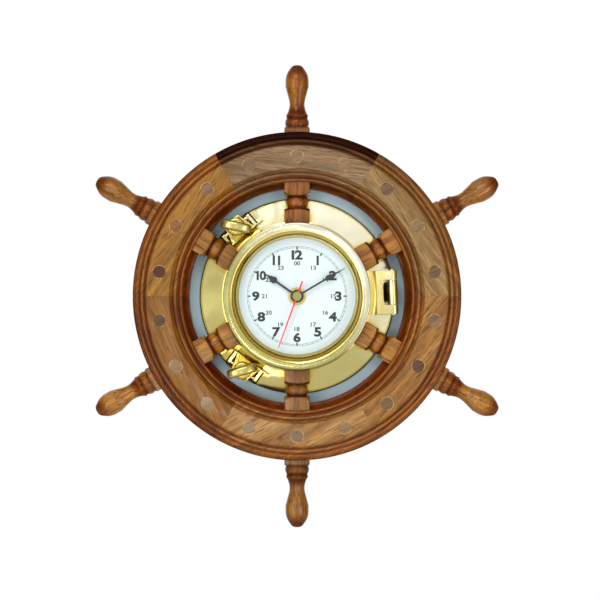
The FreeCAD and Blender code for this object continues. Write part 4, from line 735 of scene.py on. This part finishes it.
# The door: a cast brass ring with its hinge fork and two lugs, and a flat glass held from behind
# by a screwed ring on a rubber gasket. The ring's rows of tone stand for the bright and dark bands
# that polished brass mirrors.
door_reflection_bands = [
    (59.0, (1.0, 0.86, 0.50)), (60.2, (0.26, 0.16, 0.03)), (61.2, (0.40, 0.26, 0.05)),
    (62.2, (1.25, 1.00, 0.40)), (63.2, (1.55, 1.30, 0.60)), (64.6, (1.40, 1.26, 0.80)),
    (66.2, (0.85, 0.91, 0.97)), (71.4, (0.85, 0.91, 0.97)), (72.6, (1.0, 0.84, 0.42)),
    (77.0, (1.0, 0.78, 0.26)), (80.0, (0.95, 0.88, 0.60)), (84.0, (0.86, 0.78, 0.44)),
    (92.0, (0.94, 0.88, 0.62)), (110.0, (0.74, 0.66, 0.32))]
door_brass = brass("door_brass", deep_brass, pale_brass, roughness=0.17, bevel=0.25, hollow=9.0,
                   rows=door_reflection_bands)
finished("door_ring", "door", door_brass, crease=30.0)
finished("glass_gasket", "door", black_rubber)
finished("glass_retainer", "door", turned_brass)
finished("hinge_pin", "door", turned_brass)

pane_glass, pane_tree, pane_shader = new_material("pane_glass")
pane_shader.inputs["Base Color"].default_value = (1, 1, 1, 1)
pane_shader.inputs["Metallic"].default_value = 1.0
pane_shader.inputs["Roughness"].default_value = 0.02
pane_edge = node_of(pane_tree, "ShaderNodeFresnel", (-300, 0))
pane_edge.inputs["IOR"].default_value = 1.29
pane_side = node_of(pane_tree, "ShaderNodeNewGeometry", (-600, -200))
pane_front = node_of(pane_tree, "ShaderNodeMix", (-150, 0), data_type="FLOAT")
pane_front.inputs["B"].default_value = 0.0
pane_tree.links.new(pane_side.outputs["Backfacing"], pane_front.inputs["Factor"])
pane_tree.links.new(pane_edge.outputs["Fac"], pane_front.inputs["A"])
pane_tree.links.new(pane_front.outputs["Result"], pane_shader.inputs["Alpha"])
finished("door_glass", "door", pane_glass)


# The dogs: swing bolts in the ears of the flange, each with a washer and a fluted ring nut that
# clamps a lug of the door.
nut_brass = brass("nut_brass", tint(178, 164, 96), tint(206, 194, 132), roughness=0.24, bevel=0.3,
                  hollow=5.0)
for side in ("upper", "lower"):
    finished(side + "_dog_bolt", side + "_dog", turned_brass)
    finished(side + "_dog_washer", side + "_washer", turned_brass)
    finished(side + "_dog_nut", side + "_nut", nut_brass, crease=34.0)


# The dial: a sheet of metal enamelled white and printed in black, with a sloping brass ring on its
# edge, and the washer and hexagon nut that hold the movement behind it.
dial_enamel = machined("dial_enamel", tint(205, 221, 227), roughness=0.38, metallic=0.0,
                       variation=0.02, grain=3000.0)
finished("dial", "clock", dial_enamel)
finished("dial_ring", "clock", turned_brass)
finished("dial_washer", "clock", turned_brass)
finished("fixing_nut", "clock", turned_brass)
finished("movement_washer", "clock", black_rubber)

dial_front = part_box("dial")[0].y
print_depth = 0.03 * millimetre
print_ink = machined("print_ink", tint(11, 12, 14), roughness=0.45, metallic=0.0, variation=0.2,
                     grain=2500.0)
hour_circle = 40.7 * millimetre
hour_numeral_height = 9.5 * millimetre
day_circle = 32.4 * millimetre
day_numeral_height = 4.2 * millimetre
day_shift = 3.6 * millimetre
capital_share = 0.73
hour_weight = 0.06
day_weight = 0.028


def hour_bearing(hour):
    """Where an hour stands on the dial, in degrees anticlockwise from the right."""
    return 90.0 - 30.0 * hour


def numeral(text, circle, bearing, tall, weight, squeeze, wide):
    """Flat figures, upright and drawn wide, centred at a bearing on a circle of the dial."""
    letters = bpy.data.curves.new("numeral_" + text, "FONT")
    letters.body = text
    letters.align_x = "CENTER"
    letters.align_y = "CENTER"
    letters.size = tall / capital_share
    letters.offset = weight * tall
    letters.space_character = squeeze
    letters.extrude = print_depth / 2
    letters.resolution_u = 4
    holder = bpy.data.objects.new("numeral_" + text, letters)
    bpy.context.scene.collection.objects.link(holder)
    bpy.context.view_layer.update()
    evaluated = holder.evaluated_get(bpy.context.evaluated_depsgraph_get())
    mesh = bpy.data.meshes.new_from_object(evaluated)
    bpy.data.objects.remove(holder)
    xs = [vertex.co.x for vertex in mesh.vertices]
    ys = [vertex.co.y for vertex in mesh.vertices]
    middle = Vector(((min(xs) + max(xs)) / 2, (min(ys) + max(ys)) / 2, 0))
    grown_by = tall / (max(ys) - min(ys))
    angle = math.radians(bearing)
    place = Vector((wheel_middle.x + circle * math.cos(angle), dial_front - print_depth / 2,
                    wheel_middle.z + circle * math.sin(angle)))
    fit = Matrix.Translation(place) @ Matrix.Rotation(math.pi / 2, 4, "X")
    fit = fit @ Matrix.Diagonal((grown_by * wide, grown_by, 1, 1)) @ Matrix.Translation(-middle)
    mesh.transform(fit)
    return mesh


def one_mesh(name, meshes, material, body):
    """Piece made of several meshes, with one finish."""
    whole = bmesh.new()
    for mesh in meshes:
        whole.from_mesh(mesh)
        bpy.data.meshes.remove(mesh)
    mesh = bpy.data.meshes.new(name)
    whole.to_mesh(mesh)
    whole.free()
    mesh.materials.clear()
    mesh.materials.append(material)
    for face in mesh.polygons:
        face.material_index = 0
    piece = mesh_piece(name, mesh)
    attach(piece, body)
    return piece


hour_figures = [numeral(str(hour), hour_circle, hour_bearing(hour), hour_numeral_height,
                        hour_weight, squeeze=0.84 if hour < 12 else 0.76,
                        wide=1.0 if hour in (1, 10, 11) else 1.22) for hour in range(1, 13)]
hour_print = one_mesh("dial_hour_figures", hour_figures, print_ink, "clock")
day_figures = [numeral("00" if hour == 12 else str(hour + 12),
                       day_circle + (hour == 3) * day_shift, hour_bearing(hour),
                       day_numeral_height, day_weight, squeeze=0.98, wide=1.15)
               for hour in range(1, 13)]
day_print = one_mesh("dial_day_figures", day_figures, print_ink, "clock")

track_outer = 49.2 * millimetre
track_inner = 47.7 * millimetre
track_line = 0.28 * millimetre
track_steps = 180
minute_mark_width = 0.3 * millimetre
hour_mark_length = 3.0 * millimetre
hour_mark_width = 1.3 * millimetre
hour_mark_shift = 0.4 * millimetre
dial_middle = (wheel_middle.x, dial_front - print_depth / 2, wheel_middle.z)


def dial_marks(name, count, circle, long, wide):
    """Printed bars that point at the dial's middle."""
    marks, marks_given, marks_copies = ring_of("ring_of_" + name, {"Bar": "NodeSocketVector"},
                                               smooth=False)
    bar = node_of(marks, "GeometryNodeMeshCube", (-500, -300))
    marks.links.new(marks_given.outputs["Bar"], bar.inputs["Size"])
    marks.links.new(bar.outputs["Mesh"], marks_copies.inputs["Instance"])
    piece = grown(name, marks, {"Count": count, "Circle Radius": circle, "First Bearing": 0.0,
                                "Middle": dial_middle, "Material": print_ink,
                                "Bar": (long, wide, print_depth)}, "clock")


dial_marks("dial_minute_marks", 60, (track_outer + track_inner) / 2, track_outer - track_inner,
           minute_mark_width)
dial_marks("dial_hour_marks", 12, track_inner - hour_mark_shift, hour_mark_length, hour_mark_width)
track_lines = []
for radius in (track_outer, track_inner):
    line = bmesh.new()
    rings = []
    for edge_radius in (radius - track_line / 2, radius + track_line / 2):
        ring = []
        for step in range(track_steps):
            angle = step * 2 * math.pi / track_steps
            ring.append(line.verts.new((dial_middle[0] + edge_radius * math.cos(angle),
                                        dial_front - print_depth,
                                        dial_middle[2] + edge_radius * math.sin(angle))))
        rings.append(ring)
    for step in range(track_steps):
        after = (step + 1) % track_steps
        line.faces.new((rings[0][step], rings[1][step], rings[1][after], rings[0][after]))
    line_mesh = bpy.data.meshes.new("track_line")
    line.to_mesh(line_mesh)
    line.free()
    track_lines.append(line_mesh)
track_print = one_mesh("dial_track_lines", track_lines, print_ink, "clock")


# The hands: stamped from thin sheet and painted black, and a slim red seconds hand. They are
# pressed on their three spindles, with a turned brass cap over the middle.
hand_black = machined("hand_black", tint(14, 16, 18), roughness=0.35, metallic=0.0,
                      variation=0.2, grain=2500.0)
hand_red = machined("hand_red", tint(226, 16, 14), roughness=0.35, metallic=0.0, variation=0.05,
                    grain=2500.0)
finished("hour_hand", "hour_hand", hand_black)
finished("minute_hand", "minute_hand", hand_black)
finished("second_hand", "second_hand", hand_red)
cap_brass = brass("cap_brass", tint(142, 138, 84), tint(150, 146, 90), roughness=0.3, bevel=0.2)
finished("second_hand_cap", "second_hand", cap_brass)


# The movement: a black moulded case with a pale plastic train, a coil of enamelled wire on its
# stator, a small circuit board, and a battery that lies in the open bay below.
case_plastic = machined("case_plastic", tint(34, 34, 35), roughness=0.5, metallic=0.0,
                        variation=0.1, grain=1400.0, bump_depth=0.05)
for node in ("movement_case_front", "movement_case_back"):
    finished(node, "clock", case_plastic)
finished("setting_knob", "setting_knob", case_plastic)
train_plastic = machined("train_plastic", tint(226, 222, 206), roughness=0.42, metallic=0.0,
                         variation=0.05, grain=1400.0, bump_depth=0.02)
for node, body in (("rotor", "rotor"), ("intermediate_wheel", "intermediate_wheel"),
                   ("second_wheel", "second_hand"), ("third_wheel", "third_wheel"),
                   ("centre_wheel", "centre_wheel"), ("minute_cannon", "minute_hand"),
                   ("motion_wheel", "motion_wheel"), ("hour_wheel", "hour_hand")):
    finished(node, body, train_plastic)
battery_sleeve = machined("battery_sleeve", tint(46, 48, 54), roughness=0.3, metallic=0.0,
                          variation=0.1, grain=800.0)
finished("battery", "clock", battery_sleeve)
contact_steel = machined("contact_steel", tint(196, 196, 190), roughness=0.25)
for node in ("battery_contacts", "quartz_crystal", "stator"):
    finished(node, "clock", contact_steel)
coil_wire = machined("coil_wire", tint(176, 92, 44), roughness=0.3, metallic=0.4,
                     variation=0.2, grain=2200.0, bump_depth=0.08)
finished("coil", "clock", coil_wire)
board_laminate = machined("board_laminate", tint(40, 104, 56), roughness=0.4, metallic=0.0,
                          variation=0.15, grain=1600.0, bump_depth=0.03)
finished("circuit_board", "clock", board_laminate)
